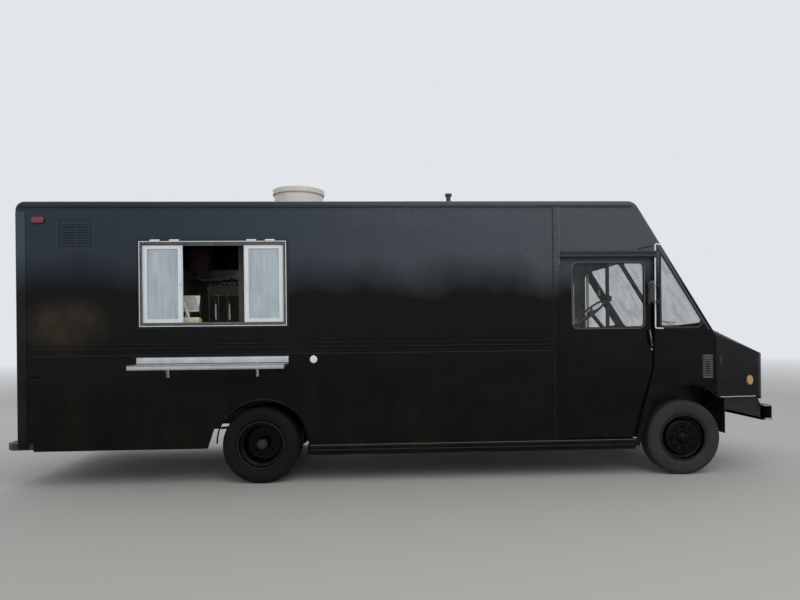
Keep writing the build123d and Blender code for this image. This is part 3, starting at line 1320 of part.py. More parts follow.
def exhaust_fan():
    """Roof exhaust: round curb, drum with a rolled rim, spider and motor."""
    x = rear_axle_x + FAN_X
    base = ROOF_TOP + FIT
    top = ROOF_TOP + FAN_HEIGHT
    r = FAN_RADIUS
    profile = [(r - 62, base), (r + 24, base), (r + 24, base + 26), (r - 18, base + 38), (r - 18, top - 74),
               (r, top - 62), (r, top), (r - 16, top), (r - 28, top - 50), (r - 34, base + 30),
               (r - 62, base + 24)]
    radii = [0, 0, 8, 10, 16, 12, 7, 7, 20, 0, 0]
    face = outline_face([(x + radius, 0, z) for radius, z in profile], radii)
    drum = revolve(face, Axis((x, 0, 0), (0, 0, 1)), 360)
    spider_z = base + 130
    for angle in (0, 60, 120):
        drum += Pos(x, 0, spider_z) * Rot(0, 0, angle) * Box(2 * r - 60, 12, 16)
    return drum + rod_z(x, 0, 70, base + 40, base + 180)


def mirror(side):
    """Door mirror: rounded head turned towards the driver, on two tube arms from the front post."""
    head_half = 88.0
    turn = 20.0
    foot_x = door_front + 26
    foot_y = side * (half + 12)
    x = front_axle_x - MIRROR_BEHIND_AXLE
    y = side * (MIRROR_REACH - head_half * math.cos(math.radians(turn)) - 8)
    head = Box(46, 2 * head_half, 240)
    head = fillet(head.edges().filter_by(Axis.X), 26)
    piece = Pos(x, y, 1973) * Rot(0, 0, side * turn) * head
    for z in (1888, 2058):
        arm = Polyline((foot_x, foot_y, z), (x + 20, y - side * 40, z), (x, y, z))
        piece += sweep(Plane(origin=arm @ 0, z_dir=arm % 0) * Circle(9), path=arm,
                       transition=Transition.RIGHT)
        piece += rod_y(foot_x, z, 24, side * (half + FIT), side * (half + 14))
    return piece


steering_x = front_axle_x - WHEEL_BEHIND_AXLE
steering_place = Pos(steering_x, DRIVER_Y, WHEEL_HEIGHT) * Rot(0, -WHEEL_TILT, 0)


def dashboard():
    """Dash across the cab behind the windscreen, with a hooded cluster, bored for the steering column."""
    x1 = cab_front
    x0 = x1 - DASH_DEPTH
    dash = side_prism([(x1, DASH_LOW), (x1, DASH_TOP), (x1 - 120, DASH_TOP + 20), (x0 + 20, DASH_TOP - 60),
                       (x0, DASH_LOW + 68), (x0 + 100, DASH_LOW)], -inner + 80, inner - 80, [0, 0, 30, 40,
                                                                                             20, 0])
    dash += side_prism([(x1 - 100, DASH_TOP), (x1 - 150, DASH_TOP + 100), (x0 + 20, DASH_TOP + 60),
                        (x0 + 10, DASH_TOP - 70)], DRIVER_Y - 220, DRIVER_Y + 230, [0, 30, 30, 0])
    return dash - steering_place * Pos(0, 0, -500) * Cylinder(COLUMN_RADIUS + FIT, 1000)


def steering_wheel():
    """Steering wheel with three spokes, on its column through the dash."""
    wheel = Torus(STEERING_RADIUS, 14) + Pos(0, 0, -14) * Cylinder(52, 34)
    for n in range(3):
        wheel += Rot(0, 0, 60 + n * 120) * Pos(STEERING_RADIUS / 2, 0, -12) * Box(STEERING_RADIUS, 30, 10)
    column = 820.0
    return steering_place * (wheel + Pos(0, 0, -14 - column / 2) * Cylinder(COLUMN_RADIUS, column))


def driver_seat():
    """High driver's seat on a pedestal."""
    x = front_axle_x - SEAT_BEHIND_AXLE
    y = DRIVER_Y
    foot = floor_top + FIT
    cushion_z = 1160.0
    seat = Pos(x, y, foot + 6) * Box(360, 360, 12) + rod_z(x, y, 90, foot, cushion_z)
    seat += side_prism([(x - 220, cushion_z), (x + 250, cushion_z), (x + 260, cushion_z + 102),
                        (x - 220, cushion_z + 80)], y - 230, y + 230, [30, 40, 40, 20])
    return seat + side_prism([(x - 220, cushion_z + 40), (x - 120, cushion_z + 70),
                              (x - 215, cushion_z + 700),
                              (x - 305, cushion_z + 680)], y - 220, y + 220, [20, 20, 40, 40])


def cabinet_run(x0, x1, y0, y1, high, uprights):
    """Open-fronted cabinets: floor, shelf and back in sheet between uprights, clear of the wheel box."""
    y_back, y_front = (y0, y1) if y0 < 0 else (y1, y0)
    inward = math.copysign(CABINET_SHEET, y_front - y_back)
    low = wheel_box_top + 4
    run = block(x0, x1, y0, y1, low, low + CABINET_SHEET)
    run += block(x0, x1, y0, y1, (low + high) / 2, (low + high) / 2 + CABINET_SHEET)
    run += block(x0, x1, y_back, y_back + inward, low, high)
    for n in range(uprights):
        x = x0 + (x1 - x0 - CABINET_SHEET) * n / (uprights - 1)
        foot = low if abs(x - rear_axle_x) < rear_arch_radius + 60 else floor_top + FIT
        run += block(x, x + CABINET_SHEET, y0, y1, foot, high)
    return run


def service_counter():
    """Counter along the serving side, its top at the window's sill."""
    x0 = rear_axle_x + COUNTER_REAR
    x1 = rear_axle_x + COUNTER_FRONT
    y0 = -inner + FIT
    y1 = y0 + COUNTER_DEPTH
    top = block(x0 - 20, x1 + 20, y0, y1 + 20, COUNTER_TOP - 37, COUNTER_TOP)
    return top + cabinet_run(x0, x1, y0, y1, COUNTER_TOP - 36, 6)


def extractor_hood(x0, x1, y1):
    """Sheet canopy over the cooking line, open underneath."""
    outside = [(y1, 2300), (y1, 2700), (y1 - 500, 2700), (y1 - 760, 2420), (y1 - 760, 2300)]
    inside = [(y1 - 20, 2280), (y1 - 20, 2680), (y1 - 488, 2680), (y1 - 740, 2412), (y1 - 740, 2280)]
    canopy = front_prism(outside, x0, x1) - front_prism(inside, x0 + 20, x1 - 20)
    return canopy + block(x0, x1, y1 - 20, y1, LINE_TOP + 200, 2301)


def kitchen_line():
    """Cooking line along the far wall: cabinets, top, splashback, extractor hood and a utensil rack."""
    x0 = rear_axle_x + LINE_REAR
    x1 = rear_axle_x + COUNTER_FRONT
    y1 = inner - FIT
    y0 = y1 - LINE_DEPTH
    line = block(x0, x1, y0, y1, LINE_TOP - 60, LINE_TOP)
    line += block(x0, x1, y1 - CABINET_SHEET, y1, LINE_TOP - 1, LINE_TOP + 240)
    line += cabinet_run(x0, x1, y0, y1, LINE_TOP - 59, 7)
    line += extractor_hood(x0 + 400, rear_axle_x + CANOPY_FRONT, y1)
    rack = rear_axle_x + RACK_REAR
    for n in range(4):
        line += rod_z(rack + 40 + n * 130, y1 - 120, 9, LINE_TOP - 1, 2190)
    return line + block(rack, rack + RACK_LENGTH, y1 - 240, y1 - 10, 2180, 2204)


def till_tablet():
    """Till screen on its stand, on the counter just inside the window."""
    x = rear_axle_x + TILL_X
    y = -inner + 210
    foot = COUNTER_TOP + FIT
    base = plan_prism(rectangle(x - 90, x + 90, y - 85, y + 85), foot, foot + 77, [20] * 4)
    neck = side_prism([(x - 40, foot + 70), (x - 10, foot + 70), (x + 10, foot + 245), (x - 30, foot + 245)],
                      y - 30, y + 30)
    return base + neck + Pos(x, y, foot + 265) * Rot(-24, 0, 0) * Box(215, 16, 190)


for name, made in (
    ("chassis_frame", chassis_frame()), ("engine_block", engine_block()), ("radiator", radiator()),
    ("leaf_springs", leaf_springs()),
    ("front_axle", front_axle()), ("rear_axle", rear_axle()), ("fuel_tank", fuel_tank()),
    ("exhaust_system", exhaust_system()), ("floor_pan", floor_pan()), ("engine_cover", engine_cover()),
    ("rocker_rails", rocker_rails()), ("side_wall_right", side_wall_right()), ("side_wall_left",
                                                                               side_wall(LEFT)),
    ("cab_sides", cab_sides()), ("roof_panel", roof_panel()), ("windscreen_surround", windscreen_surround()),
    ("cab_glass", cab_glass()), ("rear_frame", rear_frame()), ("body_louvres", body_louvres()),
    ("front_bumper", front_bumper()), ("rear_bumper", rear_bumper()), ("hood", hood()), ("grille", grille()),
    ("front_lamps", front_lamps()), ("body_lamps", body_lamps()), ("window_frame", window_frame()),
    ("window_sashes", window_sashes()), ("sash_glass", sash_glass()), ("shelf_rail", shelf_rail()),
    ("serving_shelf", serving_shelf()), ("shelf_stays", shelf_stays()), ("exhaust_fan", exhaust_fan()),
    ("mirrors", both_sides(mirror)), ("dashboard", dashboard()), ("steering_wheel", steering_wheel()),
    ("driver_seat", driver_seat()), ("service_counter", service_counter()), ("kitchen_line", kitchen_line()),
    ("till_tablet", till_tablet()),
):
    save(name, *(made if isinstance(made, list) else [made]))

for side, word in ((RIGHT, "right"), (LEFT, "left")):
    save(f"rear_door_{word}", rear_door(side))
    save(f"rear_glass_{word}", rear_glass(side))
    save(f"cab_door_{word}", cab_door(side))
    save(f"cab_door_glass_{word}", cab_door_glass(side))
    save(f"knuckle_{word}", knuckle(side))
    save(f"front_tyre_{word}", tyre(front_axle_x, side * wheel_y, side))
    save(f"front_rim_{word}", front_rim(side))
    save(f"rear_tyres_{word}", *[tyre(rear_axle_x, side * y, side) for y in (wheel_y,
                                                                             wheel_y - twin_spacing)])
    save(f"rear_rims_{word}", rear_rims(side))
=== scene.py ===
"""Looks of a step-van food truck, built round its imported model.

Metres, +X forward, +Y to the driver's side, +Z up, the origin on the ground in the middle of the truck.
First the finishes, then the shapes that carry them, then the pieces by place on the truck, then the studio.
"""

import json
import math

import bmesh
import bpy
from mathutils import Matrix, Vector


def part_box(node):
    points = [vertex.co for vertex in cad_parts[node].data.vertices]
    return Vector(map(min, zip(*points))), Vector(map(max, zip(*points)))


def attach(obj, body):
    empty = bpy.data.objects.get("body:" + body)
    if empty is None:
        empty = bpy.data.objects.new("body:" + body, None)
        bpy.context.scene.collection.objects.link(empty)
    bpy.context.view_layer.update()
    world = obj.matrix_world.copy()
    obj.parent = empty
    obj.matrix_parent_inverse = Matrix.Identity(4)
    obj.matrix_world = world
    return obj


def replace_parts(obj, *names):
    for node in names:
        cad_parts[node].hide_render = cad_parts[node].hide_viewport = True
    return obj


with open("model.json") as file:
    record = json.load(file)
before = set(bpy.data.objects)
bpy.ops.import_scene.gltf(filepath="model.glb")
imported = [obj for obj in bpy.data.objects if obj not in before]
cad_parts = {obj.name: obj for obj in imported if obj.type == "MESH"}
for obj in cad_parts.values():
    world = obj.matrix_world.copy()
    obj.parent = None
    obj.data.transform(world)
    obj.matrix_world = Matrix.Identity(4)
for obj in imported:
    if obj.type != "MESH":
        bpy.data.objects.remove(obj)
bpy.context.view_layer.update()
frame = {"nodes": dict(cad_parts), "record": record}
NODES = frame["nodes"]
RIGHT, LEFT = -1, 1
SIDES = ((RIGHT, "right"), (LEFT, "left"))

# Places on the truck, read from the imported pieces
frame_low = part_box("rear_frame")[0]
hood_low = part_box("hood")[0]
hatch_low, hatch_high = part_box("window_frame")
shelf_low, shelf_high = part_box("serving_shelf")
front_tyre_low, front_tyre_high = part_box("front_tyre_right")
rear_tyre_low, rear_tyre_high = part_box("rear_tyres_right")
fan_low, fan_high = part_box("exhaust_fan")
SKIN = -frame_low.y
FRONT_AXLE = (front_tyre_low.x + front_tyre_high.x) / 2
REAR_AXLE = (rear_tyre_low.x + rear_tyre_high.x) / 2
HUB = front_tyre_high.z / 2
WHEEL_Y = -(front_tyre_low.y + front_tyre_high.y) / 2


# ---- Finishes ----

class Finish:
    """A procedural finish being mixed: one shader, fed by patterns that read the piece's own coordinates."""

    def __init__(self, name, colour, roughness, metallic=0.0, **sockets):
        self.material = bpy.data.materials.new(name)
        self.material.use_nodes = True
        self.tree = self.material.node_tree
        self.shader = self.tree.nodes["Principled BSDF"]
        self.place = self.node("ShaderNodeTexCoord").outputs["Object"]
        self.feed("Base Color", (*colour, 1.0))
        self.feed("Roughness", roughness)
        self.feed("Metallic", metallic)
        for socket, value in sockets.items():
            self.feed(socket.replace("_", " "), value)

    def node(self, kind, settings=(), **inputs):
        made = self.tree.nodes.new(kind)
        for key, value in settings:
            setattr(made, key, value)
        for key, value in inputs.items():
            self.give(made.inputs[key.replace("_", " ")], value)
        return made

    def give(self, socket, value):
        if isinstance(value, bpy.types.NodeSocket):
            self.tree.links.new(value, socket)
        else:
            socket.default_value = value

    def feed(self, socket, value):
        self.give(self.shader.inputs[socket], value)

    def stretched(self, stretch):
        """The piece's coordinates, scaled along each axis."""
        made = self.node("ShaderNodeVectorMath", [("operation", "MULTIPLY")])
        self.give(made.inputs[0], self.place)
        made.inputs[1].default_value = stretch
        return made.outputs[0]

    def noise(self, scale, detail=3.0, roughness=0.55, stretch=(1, 1, 1)):
        return self.node("ShaderNodeTexNoise", Vector=self.stretched(stretch), Scale=scale, Detail=detail,
                         Roughness=roughness).outputs["Fac"]

    def specks(self, scale, stretch=(1, 1, 1)):
        return self.node("ShaderNodeTexVoronoi", Vector=self.stretched(stretch), Scale=scale).outputs["Distance"]

    def ribs(self, scale, direction="X", distortion=0.0):
        return self.node("ShaderNodeTexWave", [("bands_direction", direction)], Vector=self.place, Scale=scale,
                         Distortion=distortion).outputs["Fac"]

    def spread(self, value, low, high, out_low=0.0, out_high=1.0):
        """Stretch part of a pattern's range over another range, held at its ends."""
        return self.node("ShaderNodeMapRange", Value=value, From_Min=low, From_Max=high, To_Min=out_low,
                         To_Max=out_high).outputs["Result"]

    def sums(self, operation, a, b):
        made = self.node("ShaderNodeMath", [("operation", operation)])
        self.give(made.inputs[0], a)
        self.give(made.inputs[1], b)
        return made.outputs[0]

    def height(self):
        """Height above the ground in metres."""
        made = self.node("ShaderNodeSeparateXYZ", Vector=self.place)
        return made.outputs["Z"]

    def between(self, share, first, second):
        """Blend of two colours."""
        made = self.node("ShaderNodeMix", [("data_type", "RGBA")])
        self.give(made.inputs[0], share)
        for socket, colour in ((made.inputs[6], first), (made.inputs[7], second)):
            self.give(socket, (*colour, 1.0) if isinstance(colour, tuple) else colour)
        return made.outputs[2]

    def relief(self, pattern, distance, strength=1.0):
        """Bump from a pattern, over whatever bump is there already."""
        made = self.node("ShaderNodeBump", Height=pattern, Distance=distance, Strength=strength)
        before = self.shader.inputs["Normal"].links
        if before:
            self.give(made.inputs["Normal"], before[0].from_socket)
        self.feed("Normal", made.outputs["Normal"])


BLACK = (0.0027, 0.0022, 0.0015)
# Colours over the black: the sky's painted reflection towards the rear and towards the front, and the ground's painted
# reflection mixed with road dirt
SKY_REFLECTION_REAR = (0.027, 0.037, 0.05)
SKY_REFLECTION_FRONT = (0.07, 0.08, 0.09)
GROUND_REFLECTION_AND_DIRT = (0.052, 0.039, 0.023)


def black_enamel(name, gloss=0.13, lift=1.0):
    """Gloss black enamel over thin aluminium sheet, wavy and scuffed. It is grey towards the roof and lighter towards
    the front, as a painted reflection of the pale sky. It is browner low down, as a painted reflection of the ground
    mottled like road dirt, and has a brown patch towards the rear. lift scales these painted colours: above 1 they
    become a painted highlight, below 1 painted shade.
    """
    paint = Finish(name, BLACK, 0.17, Specular_IOR_Level=gloss)
    sway = paint.sums("SUBTRACT", paint.noise(1.1, 3.0, 0.55, (1.0, 1.0, 0.6)), 0.5)
    sway = paint.sums("MULTIPLY", sway, 0.55)
    level = paint.sums("ADD", paint.height(), sway)
    # Painted reflection of the pale sky: grey from about two metres up, lighter towards the front
    sky_share = paint.spread(level, 1.99, 2.4)
    ahead = paint.spread(paint.node("ShaderNodeSeparateXYZ", Vector=paint.place).outputs["X"], -2.6, 2.2)
    ends = [tuple(lift * part for part in colour) for colour in (SKY_REFLECTION_REAR, SKY_REFLECTION_FRONT)]
    reflected_sky = paint.between(sky_share, BLACK, paint.between(ahead, *ends))
    # A brown patch towards the rear, at mid-height
    patch = paint.node("ShaderNodeVectorMath", [("operation", "DISTANCE")])
    paint.give(patch.inputs[0], paint.stretched((2.6, 0.0, 4.2)))
    patch.inputs[1].default_value = (-9.0, 0.0, 7.1)
    brown_patch = paint.spread(patch.outputs["Value"], 0.6, 1.35, 1.9, 0.0)
    # Browner towards the ground: painted reflection of the ground, mottled like road dirt
    low = paint.spread(paint.height(), 0.3, 1.5, 0.34 * lift, 0.05 * lift)
    cloud = paint.spread(paint.noise(2.3, 6.0, 0.62), 0.4, 0.72)
    streak = paint.spread(paint.noise(6.0, 4.0, 0.6, (1.0, 1.0, 0.14)), 0.5, 0.78)
    film = paint.sums("MULTIPLY", low, paint.sums("ADD", cloud, streak))
    film = paint.sums("ADD", film, paint.sums("MULTIPLY", brown_patch, paint.sums("ADD", cloud, 0.45)))
    film = paint.spread(film, 0.0, 2.0, 0.0, 0.62)
    paint.feed("Base Color", paint.between(film, reflected_sky, GROUND_REFLECTION_AND_DIRT))
    scuffs = paint.spread(paint.noise(3.1, 6.0, 0.65), 0.35, 0.75, 0.13, 0.24)
    paint.feed("Roughness", paint.sums("ADD", scuffs, paint.sums("MULTIPLY", film, 0.55)))
    paint.relief(paint.noise(0.8, 2.0, 0.45, (1.0, 1.0, 1.7)), 0.02)
    paint.relief(paint.noise(4.2, 2.0, 0.5), 0.0016)
    paint.relief(paint.noise(95.0, 2.0), 0.00022)
    dent = paint.node("ShaderNodeVectorMath", [("operation", "DISTANCE")])
    paint.give(dent.inputs[0], paint.stretched((12.0, 0.0, 30.0)))
    dent.inputs[1].default_value = (-45.3, 0.0, 34.3)
    paint.relief(paint.spread(dent.outputs["Value"], 0.3, 1.0), 0.012)
    return paint.material


def satin_black(name, colour=(0.014, 0.014, 0.015), dust_colour=(0.12, 0.095, 0.07), dust=0.5):
    """Satin black brushed on over steel, with road dust in it."""
    paint = Finish(name, colour, 0.5)
    grit = paint.spread(paint.noise(6.0, 6.0, 0.65), 0.4, 0.8)
    low = paint.spread(paint.height(), 0.2, 1.1, 1.0, 0.3)
    film = paint.sums("MULTIPLY", paint.sums("MULTIPLY", grit, low), dust)
    paint.feed("Base Color", paint.between(film, colour, dust_colour))
    paint.feed("Roughness", paint.spread(paint.noise(14.0, 4.0), 0.3, 0.75, 0.38, 0.72))
    paint.relief(paint.noise(60.0, 4.0), 0.0006)
    paint.relief(paint.noise(9.0, 3.0), 0.0012)
    return paint.material


def coated(name, first, second, film, roughness, gloss=None, metallic=0.0, bumps=(), **sockets):
    """Finish of two colours mixed by a film of noise, with fine relief.

    The film is a noise, the part of its range that is used, and its most; gloss turns its range into roughness.
    """
    coat = Finish(name, first, roughness, metallic, **sockets)
    pattern, part, most = film
    coat.film = coat.spread(coat.noise(*pattern), *part, 0.0, most)
    coat.feed("Base Color", coat.between(coat.film, first, second))
    if gloss:
        coat.feed("Roughness", coat.spread(coat.film, *gloss))
    for pattern, distance in bumps:
        coat.relief(coat.noise(*pattern), distance)
    return coat


def cast_iron(name):
    """Bare cast iron gone brown, caked with dry mud."""
    iron = Finish(name, (0.05, 0.04, 0.032), 0.8, 0.35)
    rust = iron.spread(iron.noise(11.0, 6.0, 0.7), 0.42, 0.68)
    iron.feed("Base Color", iron.between(rust, (0.035, 0.032, 0.03), (0.13, 0.075, 0.042)))
    iron.relief(iron.noise(120.0, 5.0), 0.0012)
    iron.relief(iron.noise(22.0, 3.0), 0.002)
    return iron.material


def worn_rubber(name, colour, dust):
    """Weathered tyre rubber, grey with dust on its sidewalls."""
    return coated(name, colour, dust, ((9.0, 6.0, 0.65), (0.4, 0.85), 0.42), 0.8, (0.0, 0.4, 0.62, 0.9),
                  bumps=[((210.0, 3.0), 0.0004)], Specular_IOR_Level=0.15).material


def mill_aluminium(name, colour=(0.62, 0.63, 0.64), roughness=0.34):
    """Aluminium sheet as it leaves the mill, with fine drawn lines and dull blotches."""
    return coated(name, colour, tuple(c * 0.72 for c in colour), ((7.0, 5.0, 0.6), (0.35, 0.8), 1.0), roughness,
                  (0.0, 1.0, roughness - 0.08, roughness + 0.2), 0.85,
                  [((260.0, 2.0, 0.5, (0.02, 1.0, 1.0)), 0.0001), ((5.0, 2.0), 0.0012)]).material


def pane(name, colour, alpha, roughness=0.04, smear=0.05):
    """Thin window glass with wiped dust on it."""
    wiped = ((7.0, 5.0, 0.6, (1.0, 1.0, 0.5)), (0.45, 0.75), 1.0)
    glass = coated(name, colour, tuple(c + smear for c in colour), wiped, roughness,
                   (0.0, 1.0, roughness, roughness + 0.16), Specular_IOR_Level=0.9)
    glass.feed("Alpha", glass.spread(glass.film, 0.0, 1.0, alpha, min(1.0, alpha + 0.14)))
    return glass.material


def screened_pane(name):
    """Sliding sash's pane with white insect screen close behind it: pale, milky, streaked from top to foot."""
    screen = Finish(name, (0.4, 0.45, 0.5), 0.26)
    cloud = screen.spread(screen.noise(7.0, 5.0, 0.65, (1.0, 1.0, 0.3)), 0.32, 0.68)
    streak = screen.spread(screen.noise(34.0, 3.0, 0.6, (1.0, 1.0, 0.06)), 0.35, 0.7, 0.0, 0.5)
    threads = screen.sums("MULTIPLY", screen.ribs(420.0, "X"), screen.ribs(420.0, "Z"))
    weave = screen.spread(threads, 0.0, 1.0, 0.0, 0.22)
    tone = screen.between(cloud, (0.3, 0.36, 0.41), (0.5, 0.56, 0.6))
    tone = screen.between(streak, tone, (0.6, 0.64, 0.66))
    screen.feed("Base Color", screen.between(weave, tone, (0.24, 0.28, 0.31)))
    screen.feed("Alpha", screen.spread(weave, 0.0, 0.22, 0.98, 0.9))
    return screen.material


def moulded(name, colour, roughness=0.55, grain=240.0, depth=0.0003):
    """Moulded plastic with its leathery grain."""
    worn = tuple(min(1.0, c * 1.35 + 0.01) for c in colour)
    plastic = coated(name, colour, worn, ((12.0, 4.0), (0.35, 0.75), 1.0), roughness,
                     (0.0, 1.0, roughness - 0.07, roughness + 0.12))
    plastic.relief(plastic.specks(grain), depth)
    return plastic.material


def coated_ply(name):
    """Ribbed dark rubber sheet over the floor boards."""
    floor = Finish(name, (0.05, 0.05, 0.052), 0.6)
    scuff = floor.spread(floor.noise(8.0, 6.0, 0.65), 0.42, 0.78)
    floor.feed("Base Color", floor.between(scuff, (0.045, 0.045, 0.048), (0.12, 0.11, 0.095)))
    floor.relief(floor.ribs(45.0, "Y"), 0.0015)
    return floor.material


def seat_vinyl(name):
    """Dark vinyl with a fine leathery grain, shiny where it is sat on."""
    vinyl = Finish(name, (0.02, 0.02, 0.022), 0.45, Sheen_Weight=0.1)
    shine = vinyl.spread(vinyl.noise(6.0, 3.0), 0.35, 0.7)
    vinyl.feed("Roughness", vinyl.spread(shine, 0.0, 1.0, 0.34, 0.58))
    vinyl.relief(vinyl.specks(420.0), 0.0004)
    vinyl.relief(vinyl.noise(12.0, 3.0), 0.003)
    return vinyl.material


def ribbed_lens(name, colour, glow=0.0):
    """Moulded lamp lens with upright ribs."""
    lens = Finish(name, colour, 0.16, Coat_Weight=0.6, Emission_Strength=glow)
    lens.feed("Emission Color", (*colour, 1.0))
    shade = lens.spread(lens.specks(90.0), 0.0, 0.6)
    lens.feed("Base Color", lens.between(shade, tuple(c * 0.6 for c in colour), colour))
    lens.relief(lens.ribs(60.0, "DIAGONAL"), 0.0012)
    return lens.material


# Gloss black wheel paint dulled by brake dust in patches, satin white on the serving window greyed in patches,
# chalky fan paint with upright streaks of rust, and kitchen stainless brushed along its length
wheel_gloss = coated("wheel_black", (0.002, 0.002, 0.0022), (0.035, 0.03, 0.025), ((16.0, 6.0, 0.65), (0.45, 0.8), 0.2),
                     0.2, (0.0, 0.3, 0.18, 0.5), bumps=[((60.0, 3.0), 0.0003)], Specular_IOR_Level=0.12)
window_paint = coated("white_window_paint", (0.76, 0.79, 0.8), (0.36, 0.34, 0.3),
                      ((18.0, 5.0, 0.65), (0.55, 0.82), 0.35), 0.38, bumps=[((140.0, 2.0), 0.0002)])
fan_paint = coated("off_white_fan", (0.66, 0.63, 0.54), (0.36, 0.28, 0.18),
                   ((6.0, 6.0, 0.7, (1.0, 1.0, 0.35)), (0.55, 0.8), 0.6), 0.5, bumps=[((70.0, 3.0), 0.0004)])
brushed_steel = coated("kitchen_steel", (0.5, 0.5, 0.49), (0.4, 0.4, 0.392), ((5.0, 5.0, 0.65), (0.38, 0.75), 1.0), 0.3,
                       (0.0, 1.0, 0.24, 0.46), 0.95, [((320.0, 2.0, 0.5, (0.03, 1.0, 1.0)), 0.00012)])
FINISHES = {
    "body_paint": black_enamel("black_enamel"),
    "chassis_paint": satin_black("chassis_black"),
    "axle_iron": cast_iron("muddy_iron"),
    "wheel_paint": wheel_gloss.material,
    # The rear tyres' rubber, darker than the front's copy: painted shade of the arches
    "tyre": worn_rubber("worn_rubber", (0.0045, 0.0047, 0.0048), (0.022, 0.02, 0.018)),
    "bare_aluminium": mill_aluminium("mill_aluminium"),
    "window_white": window_paint.material,
    "clear_glass": pane("clear_pane", (0.03, 0.036, 0.034), 0.16),
    "dark_glass": pane("tinted_pane", (0.008, 0.009, 0.01), 0.82, 0.06, 0.02),
    "screen_glass": screened_pane("screened_pane"),
    "red_lens": ribbed_lens("red_lens", (0.2, 0.012, 0.022)),
    "lamp_lens": ribbed_lens("clear_lens", (0.62, 0.64, 0.66)),
    "black_plastic": moulded("black_plastic", (0.014, 0.014, 0.015)),
    "grey_trim": moulded("grey_dash", (0.075, 0.075, 0.078), 0.6, 300.0),
    "fan_paint": fan_paint.material,
    "stainless": brushed_steel.material,
    "floor_board": coated_ply("ribbed_floor"),
    "seat_vinyl": seat_vinyl("seat_vinyl"),
    "white_plastic": moulded("white_plastic", (0.62, 0.62, 0.6), 0.4, 320.0, 0.0001),
}
SLOTS = {finish.name: slot for slot, finish in FINISHES.items()}
for part in frame["record"]["subparts"]:
    mesh = NODES[part["node"]].data
    mesh.materials.clear()
    mesh.materials.append(FINISHES[part["material_slot"]])


def own(slot, finish):
    """Note the slot that one more finish belongs to."""
    SLOTS[finish.name] = slot
    return finish


# ---- Shapes ----

class Shape:
    """Closed solids gathered into one mesh."""

    def __init__(self):
        self.mesh = bmesh.new()

    def skin(self, rings, wrap=False):
        """Faces between rings of corners; wrap joins the last ring to the first, or else both ends are capped."""
        made = [[self.mesh.verts.new(corner) for corner in ring] for ring in rings]
        for first, second in zip(made, made[1:] + made[:1] if wrap else made[1:]):
            for i in range(len(first)):
                j = (i + 1) % len(first)
                self.mesh.faces.new((first[i], first[j], second[j], second[i]))
        if not wrap:
            self.mesh.faces.new(made[0][::-1])
            self.mesh.faces.new(made[-1])
        return self

    def block(self, low, high):
        (x0, y0, z0), (x1, y1, z1) = low, high
        return self.skin([[(x0, y0, z), (x1, y0, z), (x1, y1, z), (x0, y1, z)] for z in (z0, z1)])

    def prism(self, outline, start, end):
        """Outline of 2D corners made 3D by start and by end."""
        return self.skin([[start(*corner) for corner in outline], [end(*corner) for corner in outline]])

    def side_plate(self, outline, y0, y1):
        """Outline of (x, z) corners between two distances from the truck's middle."""
        return self.prism(outline, lambda x, z: (x, y0, z), lambda x, z: (x, y1, z))

    def cross_plate(self, outline, x0, x1):
        """Outline of (y, z) corners between two places along the truck."""
        return self.prism(outline, lambda y, z: (x0, y, z), lambda y, z: (x1, y, z))

    def flat_plate(self, outline, z0, z1):
        """Outline of (x, y) corners between two heights."""
        return self.prism(outline, lambda x, y: (x, y, z0), lambda x, y: (x, y, z1))

    def turned(self, profile, centre, axis, segments=32, closed=False):
        """Profile of (distance along the axis, radius) corners turned round the axis through centre."""
        centre, axis = Vector(centre), Vector(axis).normalized()
        across = axis.orthogonal().normalized()
        other = axis.cross(across)
        rings = []
        for along, radius in profile:
            angles = [2 * math.pi * i / segments for i in range(segments)]
            rings.append([centre + axis * along + (across * math.cos(angle) + other * math.sin(angle))
                          * max(radius, 0.00005) for angle in angles])
        return self.skin(rings, closed)

    def rod(self, start, end, radius, segments=16):
        start, end = Vector(start), Vector(end)
        return self.turned([(0, radius), ((end - start).length, radius)], start, end - start, segments)

    def pipe(self, route, radius, segments=12):
        """Round tube along a route of corners, mitred at each."""
        points = [Vector(point) for point in route]
        rings = []
        side = (points[1] - points[0]).orthogonal().normalized()
        for i, point in enumerate(points):
            before = (point - points[i - 1]).normalized() if i else (points[1] - point).normalized()
            after = (points[i + 1] - point).normalized() if i + 1 < len(points) else before
            along = (before + after).normalized()
            side = (side - along * side.dot(along)).normalized()
            other = along.cross(side)
            angles = [2 * math.pi * k / segments for k in range(segments)]
            rings.append([point + (side * math.cos(angle) + other * math.sin(angle)) * radius for angle in angles])
        return self.skin(rings)

    def as_mesh(self, name):
        """Plain mesh with its faces pointing outwards."""
        mesh = bpy.data.meshes.new(name)
        bmesh.ops.recalc_face_normals(self.mesh, faces=self.mesh.faces)
        self.mesh.to_mesh(mesh)
        self.mesh.free()
        return mesh


def rounded(corners, radius, steps=5):
    """Flat outline with each corner replaced by an arc of points."""
    outline = []
    for i, corner in enumerate(corners):
        point = Vector(corner)
        before = (Vector(corners[i - 1]) - point).normalized()
        after = (Vector(corners[(i + 1) % len(corners)]) - point).normalized()
        half = before.angle(after) / 2
        reach = radius / math.tan(half)
        centre = point + (before + after).normalized() * (radius / math.sin(half))
        first = point + before * reach - centre
        turn = first.angle_signed(point + after * reach - centre)
        for k in range(steps + 1):
            arm = first.copy()
            arm.rotate(Matrix.Rotation(-turn * k / steps, 2))
            outline.append(tuple(centre + arm))
    return outline


def oblong(a0, a1, b0, b1):
    """Corners of a rectangle, in two measures."""
    return [(a0, b0), (a1, b0), (a1, b1), (a0, b1)]


def placed(name, mesh):
    made = bpy.data.objects.new(name, mesh)
    bpy.context.scene.collection.objects.link(made)
    return made


